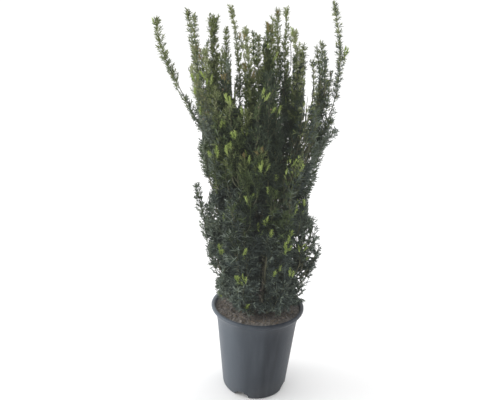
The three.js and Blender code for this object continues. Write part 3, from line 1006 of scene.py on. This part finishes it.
# ---------------------------------------------------------------- low and inner sprays
# Drooping sprays low on the trunk, which hang over the compost at the front, and the short, half-bare
# inner shoots all along the limbs, which close the heart of the plant.

LOW_SPRAYS = 52
LOW_BEARINGS = (-1.95, 0.9)
LOW_HEIGHTS = (0.281, 0.325)
LOW_LONG = (0.055, 0.105)
INNER_SPACING = 0.0075
INNER_LONG = (0.040, 0.078)
INNER_SHORT_OF = 0.012

bearing = growth.uniform(*LOW_BEARINGS, LOW_SPRAYS)
heading = np.stack([np.cos(bearing), np.sin(bearing), growth.uniform(-0.05, 0.35, LOW_SPRAYS)], 1)
start = limb_lines[LIMBS.index("trunk")].at(growth.uniform(*LOW_HEIGHTS, LOW_SPRAYS))
low_sprays = grow(start, heading, growth.uniform(*LOW_LONG, LOW_SPRAYS), 0.1, 5)
luck = growth.uniform(0, 0.5, LOW_SPRAYS)
keep_shoots("spray", "skirt", low_sprays, 0.0013, 0.0006, luck)
add_twigs(low_sprays, luck, "skirt", None)

for line in limb_lines:
    limb = line.at(np.linspace(line.low + 0.012, line.high, 12))[None]
    stem, share, start, ahead, out = offshoots(limb, INNER_SPACING, 0.04, 1.0)
    heading = unit(unit(out * (1, 1, 0)) + UP * growth.uniform(0.2, 0.9, len(stem))[:, None])
    reach = growth.uniform(*INNER_LONG, len(stem))
    kept = depth(start + heading * reach[:, None]) > INNER_SHORT_OF
    inner = grow(start[kept], heading[kept], reach[kept], 0.4, 4)
    luck = growth.uniform(0, 0.5, len(inner))
    keep_shoots("inner", "crown", inner, 0.0011, 0.0006, luck)
    add_twigs(inner, luck, "crown", None, TWIG_SPACING * 1.3)

# ---------------------------------------------------------------- wood
# The young wood of all these shoots: tapering rods, grey-olive on the leaders, greener on the sprays,
# and still green on the twigs of the last two years.

WOODS = {
    "leader_wood": (("leader", "plume"), 5, (70, 70, 50), (98, 98, 74)),
    "spray_wood": (("spray", "inner"), 4, (66, 68, 46), (92, 94, 66)),
    "twig_wood": (("twig", "tuft", "fan"), 3, (74, 84, 48), (104, 114, 66)),
}


def rods(points, thick, thin, sides):
    """Tapering rods along shoots, each closed in a point: the points and triangles of all of them."""
    count, rings, _ = points.shape
    ahead = unit(np.gradient(points, axis=1))
    average = unit(points[:, -1] - points[:, 0])
    least = np.eye(3)[np.abs(average).argmin(1)]
    side = unit(np.cross(ahead, least[:, None]))
    other = np.cross(ahead, side)
    share = np.linspace(0, 1, rings)
    thick, thin = (np.broadcast_to(size, count)[:, None] for size in (thick, thin))
    radius = thick * (1 - share) + thin * share
    around = np.arange(sides) * 2 * math.pi / sides
    ring = side[:, :, None] * np.cos(around)[:, None] + other[:, :, None] * np.sin(around)[:, None]
    shell = points[:, :-1, None] + (ring * radius[:, :, None, None])[:, :-1]
    walls = (rings - 1) * sides
    vertices = np.concatenate([shell.reshape(count, walls, 3), points[:, -1:]], 1)
    number = np.arange(walls).reshape(rings - 1, sides)
    a, b = number[:-1], number[1:]
    a_next, b_next = np.roll(a, -1, 1), np.roll(b, -1, 1)
    last = number[-1]
    triangles = [
        np.stack([a, a_next, b_next], -1).reshape(-1, 3),
        np.stack([a, b_next, b], -1).reshape(-1, 3),
        np.stack([last, np.roll(last, -1), last * 0 + walls], -1),
    ]
    faces = np.concatenate(triangles)[None] + np.arange(count)[:, None, None] * (walls + 1)
    return vertices.reshape(-1, 3), faces.reshape(-1, 3)


def joined(parts):
    """Several sets of points and triangles as one."""
    starts = np.cumsum([0] + [len(points) for points, _ in parts[:-1]])
    points = np.concatenate([points for points, _ in parts])
    faces = np.concatenate([faces + start for (_, faces), start in zip(parts, starts)])
    return points, faces


def twig_look(blank, dark, pale):
    rings = blank.clouds(700, 3, 0.6, stretch=(1, 1, 0.3))
    return {
        "Base Color": rings.between(0.3, 0.7).blend(dark, pale),
        "Roughness": 0.66 + rings * 0.2,
        "Normal": rings.relief(0.0003, 0.6),
    }


for name, (grades, sides, dark, pale) in WOODS.items():
    parts = []
    for grade, _, points, thick, thin, _ in shoots:
        if grade in grades:
            parts.append(rods(points[:, ::2] if sides == 3 else points, thick, thin, sides))
    put_in(name, skin(name, *joined(parts)), finish(name, twig_look, dark, pale))

# ---------------------------------------------------------------- needles
# Flat, pointed, leathery needles set spirally and swept forward: dark bluish green low down, olive on
# the upright shoots, pale grey-green at the flanks and low down as painted haze, with a paler painted
# glare far out on the left, and dull and plain deep inside, in paler colours that are partly the
# undersides seen from within and partly painted light that lifts the shade there.

NEEDLE_WIDE = 0.0026
PER_PIECE = 46000
KINDS = {
    # The deep kind is paler than the dark ones: partly undersides seen from within, partly painted light
    # that lifts the shade deep in the plant.
    "deep": ((64, 73, 66), (84, 93, 85)),
    # Painted haze: a pale grey-green kind for where light wraps round the flanks and the low parts.
    "dusty": ((91, 102, 91), (120, 131, 117)),
    # Painted glare: a paler grey kind for the far left of the outline.
    "misty": ((122, 131, 112), (152, 160, 138)),
    "bluish": ((55, 64, 60), (74, 85, 79)),
    "dark": ((41, 52, 39), (58, 70, 53)),
    "green": ((60, 74, 45), (84, 98, 60)),
    "olive": ((98, 109, 65), (128, 138, 88)),
    "pale": ((128, 136, 96), (156, 163, 118)),
    "fresh": ((140, 160, 80), (174, 192, 108)),
    "bronze": ((118, 106, 66), (146, 130, 86)),
}
NAMES = list(KINDS)
DEEP, PAINTED_HAZE, PAINTED_GLARE, BLUISH = range(4)

# The share of the shoots that bear each kind, at each of these heights; the rest bear pale ones.
HEIGHTS = (0.25, 0.45, 0.60, 0.75, 0.90, 1.10)
MIX = {
    "bluish": (0.88, 0.76, 0.52, 0.14, 0.00, 0.00),
    "dark": (0.08, 0.16, 0.28, 0.38, 0.18, 0.03),
    "green": (0.04, 0.08, 0.17, 0.36, 0.36, 0.16),
    "olive": (0.00, 0.00, 0.03, 0.12, 0.34, 0.45),
}

# What is added to a shoot's luck by its depth in the plant, as painted light and shade that deals
# lighter kinds to the outside and darker ones further in, and the most luck that a height allows.
LIGHT_BY_DEPTH = (0.0, 0.014, 0.040), (0.10, 0.0, -0.28)
MOST_LUCK = (0.80, 1.0), (0.92, 1.5)

# Shady hollows in the face of the crown, with painted shade that deals darker kinds to the needles
# there: x, z, how wide, and how much darker.
HOLLOWS = (
    (-0.008, 0.89, 0.040, 0.60), (0.008, 0.80, 0.043, 0.60), (0.014, 0.71, 0.043, 0.50),
    (0.070, 0.76, 0.030, 0.20), (-0.075, 0.70, 0.030, 0.20), (0.032, 0.68, 0.034, 0.28),
    (-0.108, 0.75, 0.030, 0.22), (0.034, 0.88, 0.028, 0.30), (0.036, 0.79, 0.030, 0.25),
)
HOLLOWS_END = 0.03

# Where the needles of painted haze and painted glare grow, pale grey-green where light wraps round the
# outline, by height: on the flanks, everywhere low down, and on what stands out farther than this to
# the right or to the left. The flanks also take lighter kinds as painted light, less on the right.
FLANK_STARTS = 0.40
FLANK_RIGHT = 0.65
FLANK_PAINTED_LIGHT = 0.26
PAINTED_HAZE_FLANK = (0.45, 0.60, 0.74), (0.92, 0.72, 0.15)
PAINTED_HAZE_LOW = (0.30, 0.50, 0.62), (0.16, 0.12, 0.0)
OUTLYING_RIGHT = 0.12
OUTLYING_LEFT = (0.82, 0.92), (0.115, 0.155)
OUTLYING_OVER = 0.06
PAINTED_HAZE_RIGHT = 0.35
PAINTED_HAZE_LEFT = (0.82, 0.92), (0.62, 0.25)
PAINTED_GLARE_LEFT = (0.86, 0.96), (0.50, 0.225)

# Bluish needles come in from the first of these distances to the right, and needles of painted haze
# beyond the second, between these heights. Deep ones grow this far inside the plant and below this
# height.
COOL_RIGHT = (0.04, 0.112)
COOL_HEIGHTS = (0.55, 0.97)
DEEP_FROM = 0.045
DEEP_BELOW = 0.82

NEEDLES = {
    "leader": {"pitch": 0.0026, "long": 0.018, "spread": 0.95, "bare": 0.55},
    "inner": {"pitch": 0.0030, "long": 0.022, "spread": 1.00, "bare": 0.20},
    "spray": {"pitch": 0.0019, "long": 0.018, "spread": 0.92, "bare": 0.15},
    "twig": {"pitch": 0.0016, "long": 0.0175, "spread": 0.88, "bare": 0.03},
    "plume": {"pitch": 0.0018, "long": 0.0130, "spread": 0.90, "bare": 0.0, "stout": 1.15},
    "tuft": {"pitch": 0.0011, "long": 0.0125, "spread": 0.75, "bare": 0.0, "stout": 1.2},
    "fan": {"pitch": 0.0011, "long": 0.0150, "spread": 0.80, "bare": 0.0},
    "flush": {"pitch": 0.0010, "long": 0.0110, "spread": 0.55, "bare": 0.0},
}

# Where the crown is thin enough for the sky to twinkle through: ovals in the picture, by their pixels
# across and down and their half width and height. A share of small squares in them is left open.
PEEPHOLES = (
    (291, 162, 9, 27), (281, 203, 9, 7), (215, 214, 4, 10), (298, 245, 7, 11),
    (311, 243, 8, 17), (301, 284, 7, 15), (216, 268, 6, 14), (306, 140, 8, 24),
)
PEEPHOLE = 1.7
PEEPHOLE_SHARE = 0.27
SLOT_INSET = 1.4
TESTED_ALONG = np.array((0.25, 0.6, 0.95))[:, None]

needle_random = np.random.default_rng(77)
blades = {(zone, kind): [] for zone in ("shoot", "crown", "skirt") for kind in NAMES}


def kind_at(points, luck, shaded):
    """Which kind of needle a shoot bears there: by height and depth in the plant, with painted shade in
    hollows and painted light on the flanks, and by luck.
    """
    x, y, z = points.T
    height = z + needle_random.normal(0, 0.02, len(points))
    luck = luck + shaded * np.interp(depth(points), *LIGHT_BY_DEPTH)
    for hollow_x, hollow_z, wide, darker in HOLLOWS:
        away = np.hypot(x - hollow_x, z - hollow_z) / wide
        luck = luck - darker * np.exp(-(away**2)) * ((y < HOLLOWS_END) & (shaded > 0))

    aside = x - CROWN_AXIS[0]
    right = aside > 0
    _, storey = bearing_and_storey(points)
    edge = np.where(right, REACH[storey, BEARINGS // 2], REACH[storey, 0])
    # Painted light on the flanks: shoots near the outline at left and right get lighter kinds and more
    # painted haze, less on the right.
    painted_flank_light = np.clip((np.abs(aside) / edge - FLANK_STARTS) / 0.5, 0, 1) * np.where(right, FLANK_RIGHT, 1.0)
    steps = np.cumsum([np.interp(height, HEIGHTS, shares) for shares in MIX.values()], axis=0)
    least = np.where(height > 0.66, steps[0] + 0.001, 0.001)
    luck = np.clip(luck + FLANK_PAINTED_LIGHT * painted_flank_light, least, np.interp(height, *MOST_LUCK))
    kind = BLUISH + (luck[None] > steps).sum(0)

    patch = 0.8 + 0.35 * np.sin(37 * y + 29 * z)
    dusty = painted_flank_light * patch * np.interp(height, *PAINTED_HAZE_FLANK)
    dusty = np.maximum(dusty, np.interp(height, *PAINTED_HAZE_LOW))
    begins = np.where(right, OUTLYING_RIGHT, np.interp(height, *OUTLYING_LEFT))
    outlying = np.clip((np.abs(aside) - begins) / OUTLYING_OVER, 0, 1)
    dusty = np.maximum(dusty, np.where(right, PAINTED_HAZE_RIGHT, np.interp(height, *PAINTED_HAZE_LEFT)) * outlying)
    kind = np.where((luck * 2.3) % 1 < dusty, PAINTED_HAZE, kind)
    cooler = 0.5 * np.clip((x - COOL_RIGHT[0]) / 0.06, 0, 1)
    cooler *= (height > COOL_HEIGHTS[0]) & (height < COOL_HEIGHTS[1])
    kind = np.where((luck * 3.7) % 1 < cooler, np.where(x > COOL_RIGHT[1], PAINTED_HAZE, BLUISH), kind)
    # Painted glare: the palest grey kind, far out on the left.
    misty = np.where(right, 0.0, outlying * patch * np.interp(height, *PAINTED_GLARE_LEFT))
    kind = np.where((luck * 5.3) % 1 < misty, PAINTED_GLARE, kind)
    return np.where((depth(points) > DEEP_FROM) & (height < DEEP_BELOW), DEEP, kind)


def through_peepholes(points):
    """Which points lie in an open square of a peephole."""
    across, down, _ = as_seen(points)
    thin = np.zeros(across.shape, bool)
    for x, y, wide, tall in PEEPHOLES:
        thin |= ((across - x) / wide) ** 2 + ((down - y) / tall) ** 2 < 1
    column, row = np.floor(across / PEEPHOLE), np.floor(down / PEEPHOLE)
    chance = np.sin(column * 12.9898 + row * 78.233) * 43758.5453 % 1
    return thin & (chance < PEEPHOLE_SHARE)


def clothe(grade, zone, points, luck, kind=None):
    """Sets needles along a batch of shoots."""
    rule = NEEDLES[grade]
    flat = 0.3 if grade == "twig" else 0.0
    stem, share, base, ahead, out = offshoots(
        points, rule["pitch"], rule["bare"], 1.0, flat, 1, needle_random
    )
    swept = rule["spread"] * (1 - 0.5 * share**4) + needle_random.normal(0, 0.12, len(stem))
    way = unit(splayed(ahead, out, swept))
    facing = unit(ahead - way * (ahead * way).sum(1, keepdims=True))
    long = rule["long"] * (0.72 + 0.28 * np.sin(math.pi * np.clip(0.2 + share * 0.85, 0, 1)))
    if grade in ("spray", "twig"):
        long = long * np.interp(base[:, 2], (0.30, 0.45, 0.60, 0.85), (1.12, 1.08, 1.0, 0.86))
    long = long * needle_random.uniform(0.82, 1.12, len(stem))
    wide = NEEDLE_WIDE * rule.get("stout", 1) * np.clip(long / 0.016, 0.85, 1.1)
    if kind is None:
        # Painted light and shade along each shoot, partly the paler new growth: lighter kinds at the tip,
        # darker at the foot.
        towards_tip = np.where(share > 0.6, 0.09, -0.05) + needle_random.normal(0, 0.02, len(stem))
        # How much painted shade by depth and in hollows: none on front sprays, some on upright shoots.
        shaded = 0.0 if grade == "fan" else 0.3 if zone == "shoot" else 1.0
        kind = kind_at(base, np.clip(luck[stem] + towards_tip, 0, 1), shaded)
    along = base[:, None] + (way * long[:, None])[:, None] * TESTED_ALONG
    closing = through_peepholes(along) | before_stem(along, STEM_CLEAR) | in_sky(along, SLOT_INSET)
    for number, name in enumerate(NAMES):
        own = (kind == number) & ~closing.any(1)
        if own.any():
            blades[zone, name].append((base[own], way[own], facing[own], long[own], wide[own]))


for grade, zone, points, thick, thin, luck in shoots:
    if grade != "leader" or zone != "shoot":
        clothe(grade, zone, points, luck)

# ---------------------------------------------------------------- new tips
# Soft yellow-green tufts that have just opened at the ends of twigs, and a few bronze ones, most of
# them near the top. The back, which is turned away, has a share of both at random.

FLUSH_SHARE = 0.055
FLUSH_LONG = (0.014, 0.024)
BRONZE_CHANCE = 1.01
BRONZE_SIZE = 0.6
BRONZE_ABOVE = 0.7
TIP_SHARE = {"spray": 1.0, "twig": 0.35, "tuft": 0.3, "fan": 0.3}
TIP_DEPTH = 0.028
TIP_BELOW = 1.02
TURNED_AWAY = 0.03

# Places in the picture where new tips are open, and where bronze ones are: pixels across, pixels down,
# and how many.
FLUSH_SEEN = (
    (152, 24, 2), (290, 33, 1), (269, 47, 1), (262, 53, 1), (276, 57, 1), (241, 59, 2), (259, 61, 1),
    (346, 52, 2), (197, 77, 2), (207, 79, 2), (208, 84, 2), (194, 90, 1), (228, 99, 3), (201, 112, 3),
    (245, 114, 4), (223, 123, 2), (262, 97, 2), (275, 110, 3), (245, 132, 2), (237, 138, 3),
    (230, 151, 5), (214, 155, 4), (248, 160, 4), (245, 174, 3), (264, 168, 5), (289, 162, 4),
    (296, 164, 4), (299, 168, 3), (295, 174, 4), (287, 173, 2), (275, 180, 3), (297, 186, 2),
    (216, 189, 5), (250, 201, 3), (251, 210, 5), (272, 193, 5), (299, 212, 4), (302, 207, 4),
    (222, 218, 1), (268, 224, 2), (260, 232, 2), (271, 233, 1), (290, 237, 3), (221, 248, 5),
    (240, 256, 5), (285, 249, 4), (302, 248, 3), (307, 260, 1), (241, 280, 6), (269, 275, 2),
    (277, 275, 2), (290, 273, 2), (282, 268, 1), (222, 295, 2), (248, 307, 2), (304, 303, 1),
)
BRONZE_SEEN = (
    (246, 67, 4), (266, 27, 4), (271, 31, 3), (241, 35, 2), (199, 50, 2), (200, 56, 2), (223, 78, 2),
    (254, 73, 2), (278, 13, 1), (282, 20, 1), (271, 43, 2), (261, 153, 4), (243, 158, 1), (278, 54, 1),
)

tips = {zone: [] for zone in ("shoot", "crown", "skirt")}
for grade, zone, points, *_ in shoots:
    if grade in TIP_SHARE:
        chance = needle_random.uniform(0, 1, (len(points), 1, 1)) / TIP_SHARE[grade]
        chance = np.broadcast_to(chance, (len(points), 1, 3))
        tips[zone].append(np.concatenate([points[:, -2:], chance], 1))
tips = {zone: np.concatenate(found) for zone, found in tips.items()}
seen_at = {zone: np.stack(as_seen(found[:, 1]), 1) for zone, found in tips.items()}


def nearest_tips(places):
    """The tips seen in front at each (across, down, how many) place, as sets of their numbers."""
    chosen = {zone: set() for zone in tips}
    for across, down, count in places:
        found = []
        for zone, seen in seen_at.items():
            away = np.hypot(seen[:, 0] - across, seen[:, 1] - down - 2)
            found.extend((seen[tip, 2], zone, tip) for tip in np.flatnonzero(away < 2.6 + 0.5 * count))
        for _, zone, tip in sorted(found)[:count]:
            chosen[zone].add(tip)
    return chosen


opened = nearest_tips(FLUSH_SEEN)
reddened = nearest_tips(BRONZE_SEEN)
for zone, found in tips.items():
    end = found[:, 1]
    chance = found[:, 2, 0]
    at_random = (depth(end) < TIP_DEPTH) & (end[:, 2] < TIP_BELOW) & (end[:, 1] > TURNED_AWAY)
    fresh = (chance < FLUSH_SHARE) & at_random
    fresh[list(opened[zone])] = True
    bronze = (abs(chance - BRONZE_CHANCE) < 0.01) & at_random & (end[:, 2] > BRONZE_ABOVE)
    bronze[list(reddened[zone] - opened[zone])] = True
    for kind, chosen, size in (("fresh", fresh, 1.0), ("bronze", bronze, BRONZE_SIZE)):
        ends = found[chosen]
        aside = needle_random.normal(0, 0.20, (len(ends), 3))
        heading = unit(ends[:, 1] - ends[:, 0]) * 0.7 + aside + UP * 0.6
        long = needle_random.uniform(*FLUSH_LONG, len(ends)) * size
        opened_tips = grow(ends[:, 1] - heading * 0.004, heading, long, 0.3, 2)
        if len(ends):
            clothe("flush", zone, opened_tips, long, NAMES.index(kind))

# ---------------------------------------------------------------- foliage
# All the needles as meshes: narrow blades folded along the midrib that droop a little to a point. Each
# kind in each part of the plant is a few pieces of its own, and these stand for the masses.

STANDS_FOR = {"shoot": PLUMES, "crown": CROWN_MASSES, "skirt": SKIRT_MASSES}

# A blade's points: how far ahead, in lengths, aside and up, in widths, and down, in lengths.
BLADE = (
    (0, 0, 0, 0),
    (0.2, -0.46, 0.16, 0),
    (0.2, 0.46, 0.16, 0),
    (0.74, -0.42, 0.16, 0.045),
    (0.74, 0.42, 0.16, 0.045),
    (1, 0, 0, 0.10),
)


def blade_mesh(base, way, facing, long, wide, plain):
    """Blades folded along their midrib: six points and four faces each, or four and two if plain."""
    ahead, aside, up, down = np.array(BLADE).T[:, None, :, None]
    long = long[:, None]
    wide = wide[:, None]
    corners = base[:, None] + (way * long)[:, None] * ahead
    corners = corners + (np.cross(way, facing) * wide)[:, None] * aside
    corners = corners + (facing * wide)[:, None] * up - (facing * long)[:, None] * down
    pattern = np.array([(0, 1, 3), (0, 3, 5), (0, 5, 4), (0, 4, 2)])
    if plain:
        corners = corners[:, (0, 1, 2, 5)] + (corners[:, (0, 3, 4, 5)] - corners[:, (0, 1, 2, 5)]) * 0.4
        pattern = np.array([(0, 1, 3), (0, 3, 2)])
    faces = pattern[None] + np.arange(len(base))[:, None, None] * corners.shape[1]
    return corners.reshape(-1, 3), faces.reshape(-1, 3)


def needle_look(blank, dark, pale):
    return {
        "Base Color": blank.clouds(38, 3, 0.7).between(0.3, 0.7).blend(dark, pale),
        "Roughness": 0.50 + blank.clouds(500, 2) * 0.16,
        "Specular IOR Level": 0.16,
    }


looks = {name: finish(f"needles_{name}", needle_look, *shades) for name, shades in KINDS.items()}
for (zone, name), batches in blades.items():
    if not batches:
        continue
    columns = [np.concatenate([batch[column] for batch in batches]) for column in range(5)]
    count = len(columns[0])
    pieces = math.ceil(count / PER_PIECE)
    for piece in range(pieces):
        share = slice(piece * count // pieces, (piece + 1) * count // pieces)
        label = f"{zone}_needles_{name}_{piece + 1}"
        mesh = skin(label, *blade_mesh(*[column[share] for column in columns], name == "deep"))
        put_in(label, mesh, looks[name], STANDS_FOR.pop(zone, ()))

# ---------------------------------------------------------------- buds
# Small closed buds, brownish, at the ends of last year's twigs in the upper part of the plant.

BUD_SHARE = 0.10
BUD_LONG = 0.0042
BUD_WIDE = 0.0015
BUD_DEPTH = 0.03
BUD_ABOVE = 0.80

budding = np.concatenate([found for found in tips.values()])
budding = budding[(depth(budding[:, 1]) < BUD_DEPTH) & (budding[:, 1, 2] > BUD_ABOVE)]
budding = budding[needle_random.uniform(0, 1, len(budding)) < BUD_SHARE]
ahead = unit(budding[:, 1] - budding[:, 0])[:, None]
along = np.array((-0.2, 0.4, 1.0))[None, :, None] * BUD_LONG
bud_mesh = skin("buds", *rods(budding[:, 1][:, None] + ahead * along, BUD_WIDE, BUD_WIDE * 0.5, 5))
put_in("buds", bud_mesh, finish("buds", twig_look, (122, 104, 80), (152, 128, 100)))

# ---------------------------------------------------------------- litter
# The plant's own fallen needles, dry and brown, and pale straw fibres out of the compost, lying loose.

FALLEN_COUNT = 420
FALLEN_LONG = (0.010, 0.020)
FALLEN_WIDE = 0.0020
STRAW_COUNT = 150
STRAW_LONG = (0.012, 0.042)
STRAW_THICK = 0.0005
STRAW_STEPS = 4

spots = scatter(FALLEN_COUNT, soil_edge - 0.010)
lying = tumbled(FALLEN_COUNT, 0.16)
resting = np.column_stack([spots, on_soil(spots, 0.0014)])
fallen_long = soil_random.uniform(*FALLEN_LONG, FALLEN_COUNT)
fallen_wide = np.full(FALLEN_COUNT, FALLEN_WIDE)
fallen = skin("fallen", *blade_mesh(resting, lying[:, 0], lying[:, 2], fallen_long, fallen_wide, False))
put_in("fallen_needles", fallen, finish("fallen", twig_look, (104, 88, 70), (134, 116, 92)))

spots = scatter(STRAW_COUNT, soil_edge - 0.016)
heading = soil_random.uniform(0, 2 * math.pi, STRAW_COUNT)
curl = soil_random.normal(0, 0.35, STRAW_COUNT)
straw_long = soil_random.uniform(*STRAW_LONG, STRAW_COUNT)
straws = [np.column_stack([spots, spots[:, :1] * 0])]
for _ in range(STRAW_STEPS):
    step = np.stack([np.cos(heading), np.sin(heading), heading * 0], 1) * straw_long[:, None] / STRAW_STEPS
    straws.append(straws[-1] + step)
    heading = heading + curl
straws = np.stack(straws, 1)
straws = straws[np.linalg.norm(straws[:, :, :2], axis=2).max(1) < soil_edge - 0.003]
straws[:, :, 2] = on_soil(straws[:, :, :2].reshape(-1, 2), 0.0012).reshape(straws.shape[:2])
straw_mesh = skin("straw", *rods(straws, STRAW_THICK, STRAW_THICK * 0.6, 4))
put_in("straw", straw_mesh, finish("straw", twig_look, (128, 120, 104), (158, 150, 132)))

# ---------------------------------------------------------------- floor and light
# A pale floor that runs out of sight, a sky that looks even and white but lights the plant mostly from
# its sides and above all from the left, three large soft lights, and a haze in the darkest tones.

FLOOR_REACH = 60
HAZE = 0.0075
GAMMA = 1.15
SKY_SEEN = 1.1

corners = [(x * FLOOR_REACH, y * FLOOR_REACH, 0) for x, y in ((-1, -1), (1, -1), (1, 1), (-1, 1))]
floor_mesh = bpy.data.meshes.new("floor")
floor_mesh.from_pydata(corners, [], [(0, 1, 2, 3)])
floor_mesh.materials.append(
    finish("floor", lambda blank: {"Base Color": (0.90, 0.90, 0.90, 1), "Roughness": 0.9})
)
floor = bpy.data.objects.new("floor", floor_mesh)
bpy.context.scene.collection.objects.link(floor)

sky = bpy.data.worlds.new("sky")
sky.use_nodes = True
background = sky.node_tree.nodes["Background"]
background.inputs["Color"].default_value = (1, 1, 1, 1)
around = Wire(sky.node_tree)
towards = around.node("ShaderNodeTexCoord", {}, 0)
sideways = around.node("ShaderNodeSeparateXYZ", {0: towards}, 0)
away = around.node("ShaderNodeSeparateXYZ", {0: towards}, 1)
brightness = 0.66 - 0.48 * sideways + 0.50 * away + 1.5 * (sideways * sideways)
seen_directly = around.node("ShaderNodeLightPath", {}, 0)
strength = brightness + seen_directly * (SKY_SEEN - brightness)
sky.node_tree.links.new(strength.socket, background.inputs["Strength"])
bpy.context.scene.world = sky

for name, place, softness, strength in [
    ("window", (-2.9, 0.1, 1.9), 40, 1.3),
    ("far_window", (2.0, 1.9, 1.6), 40, 0.9),
    ("skylight", (0.2, 0.4, 3.0), 60, 0.45),
]:
    lamp = bpy.data.objects.new(name, bpy.data.lights.new(name, "SUN"))
    lamp.data.angle = math.radians(softness)
    lamp.data.energy = strength
    lamp.location = place
    lamp.rotation_euler = (Vector((0, 0, 0.6)) - Vector(place)).to_track_quat("-Z", "Y").to_euler()
    bpy.context.scene.collection.objects.link(lamp)

seen = bpy.context.scene.view_settings
seen.view_transform = "Standard"
seen.gamma = GAMMA
seen.use_curve_mapping = True
seen.curve_mapping.black_level = (-HAZE, -HAZE, -HAZE)
seen.curve_mapping.update()
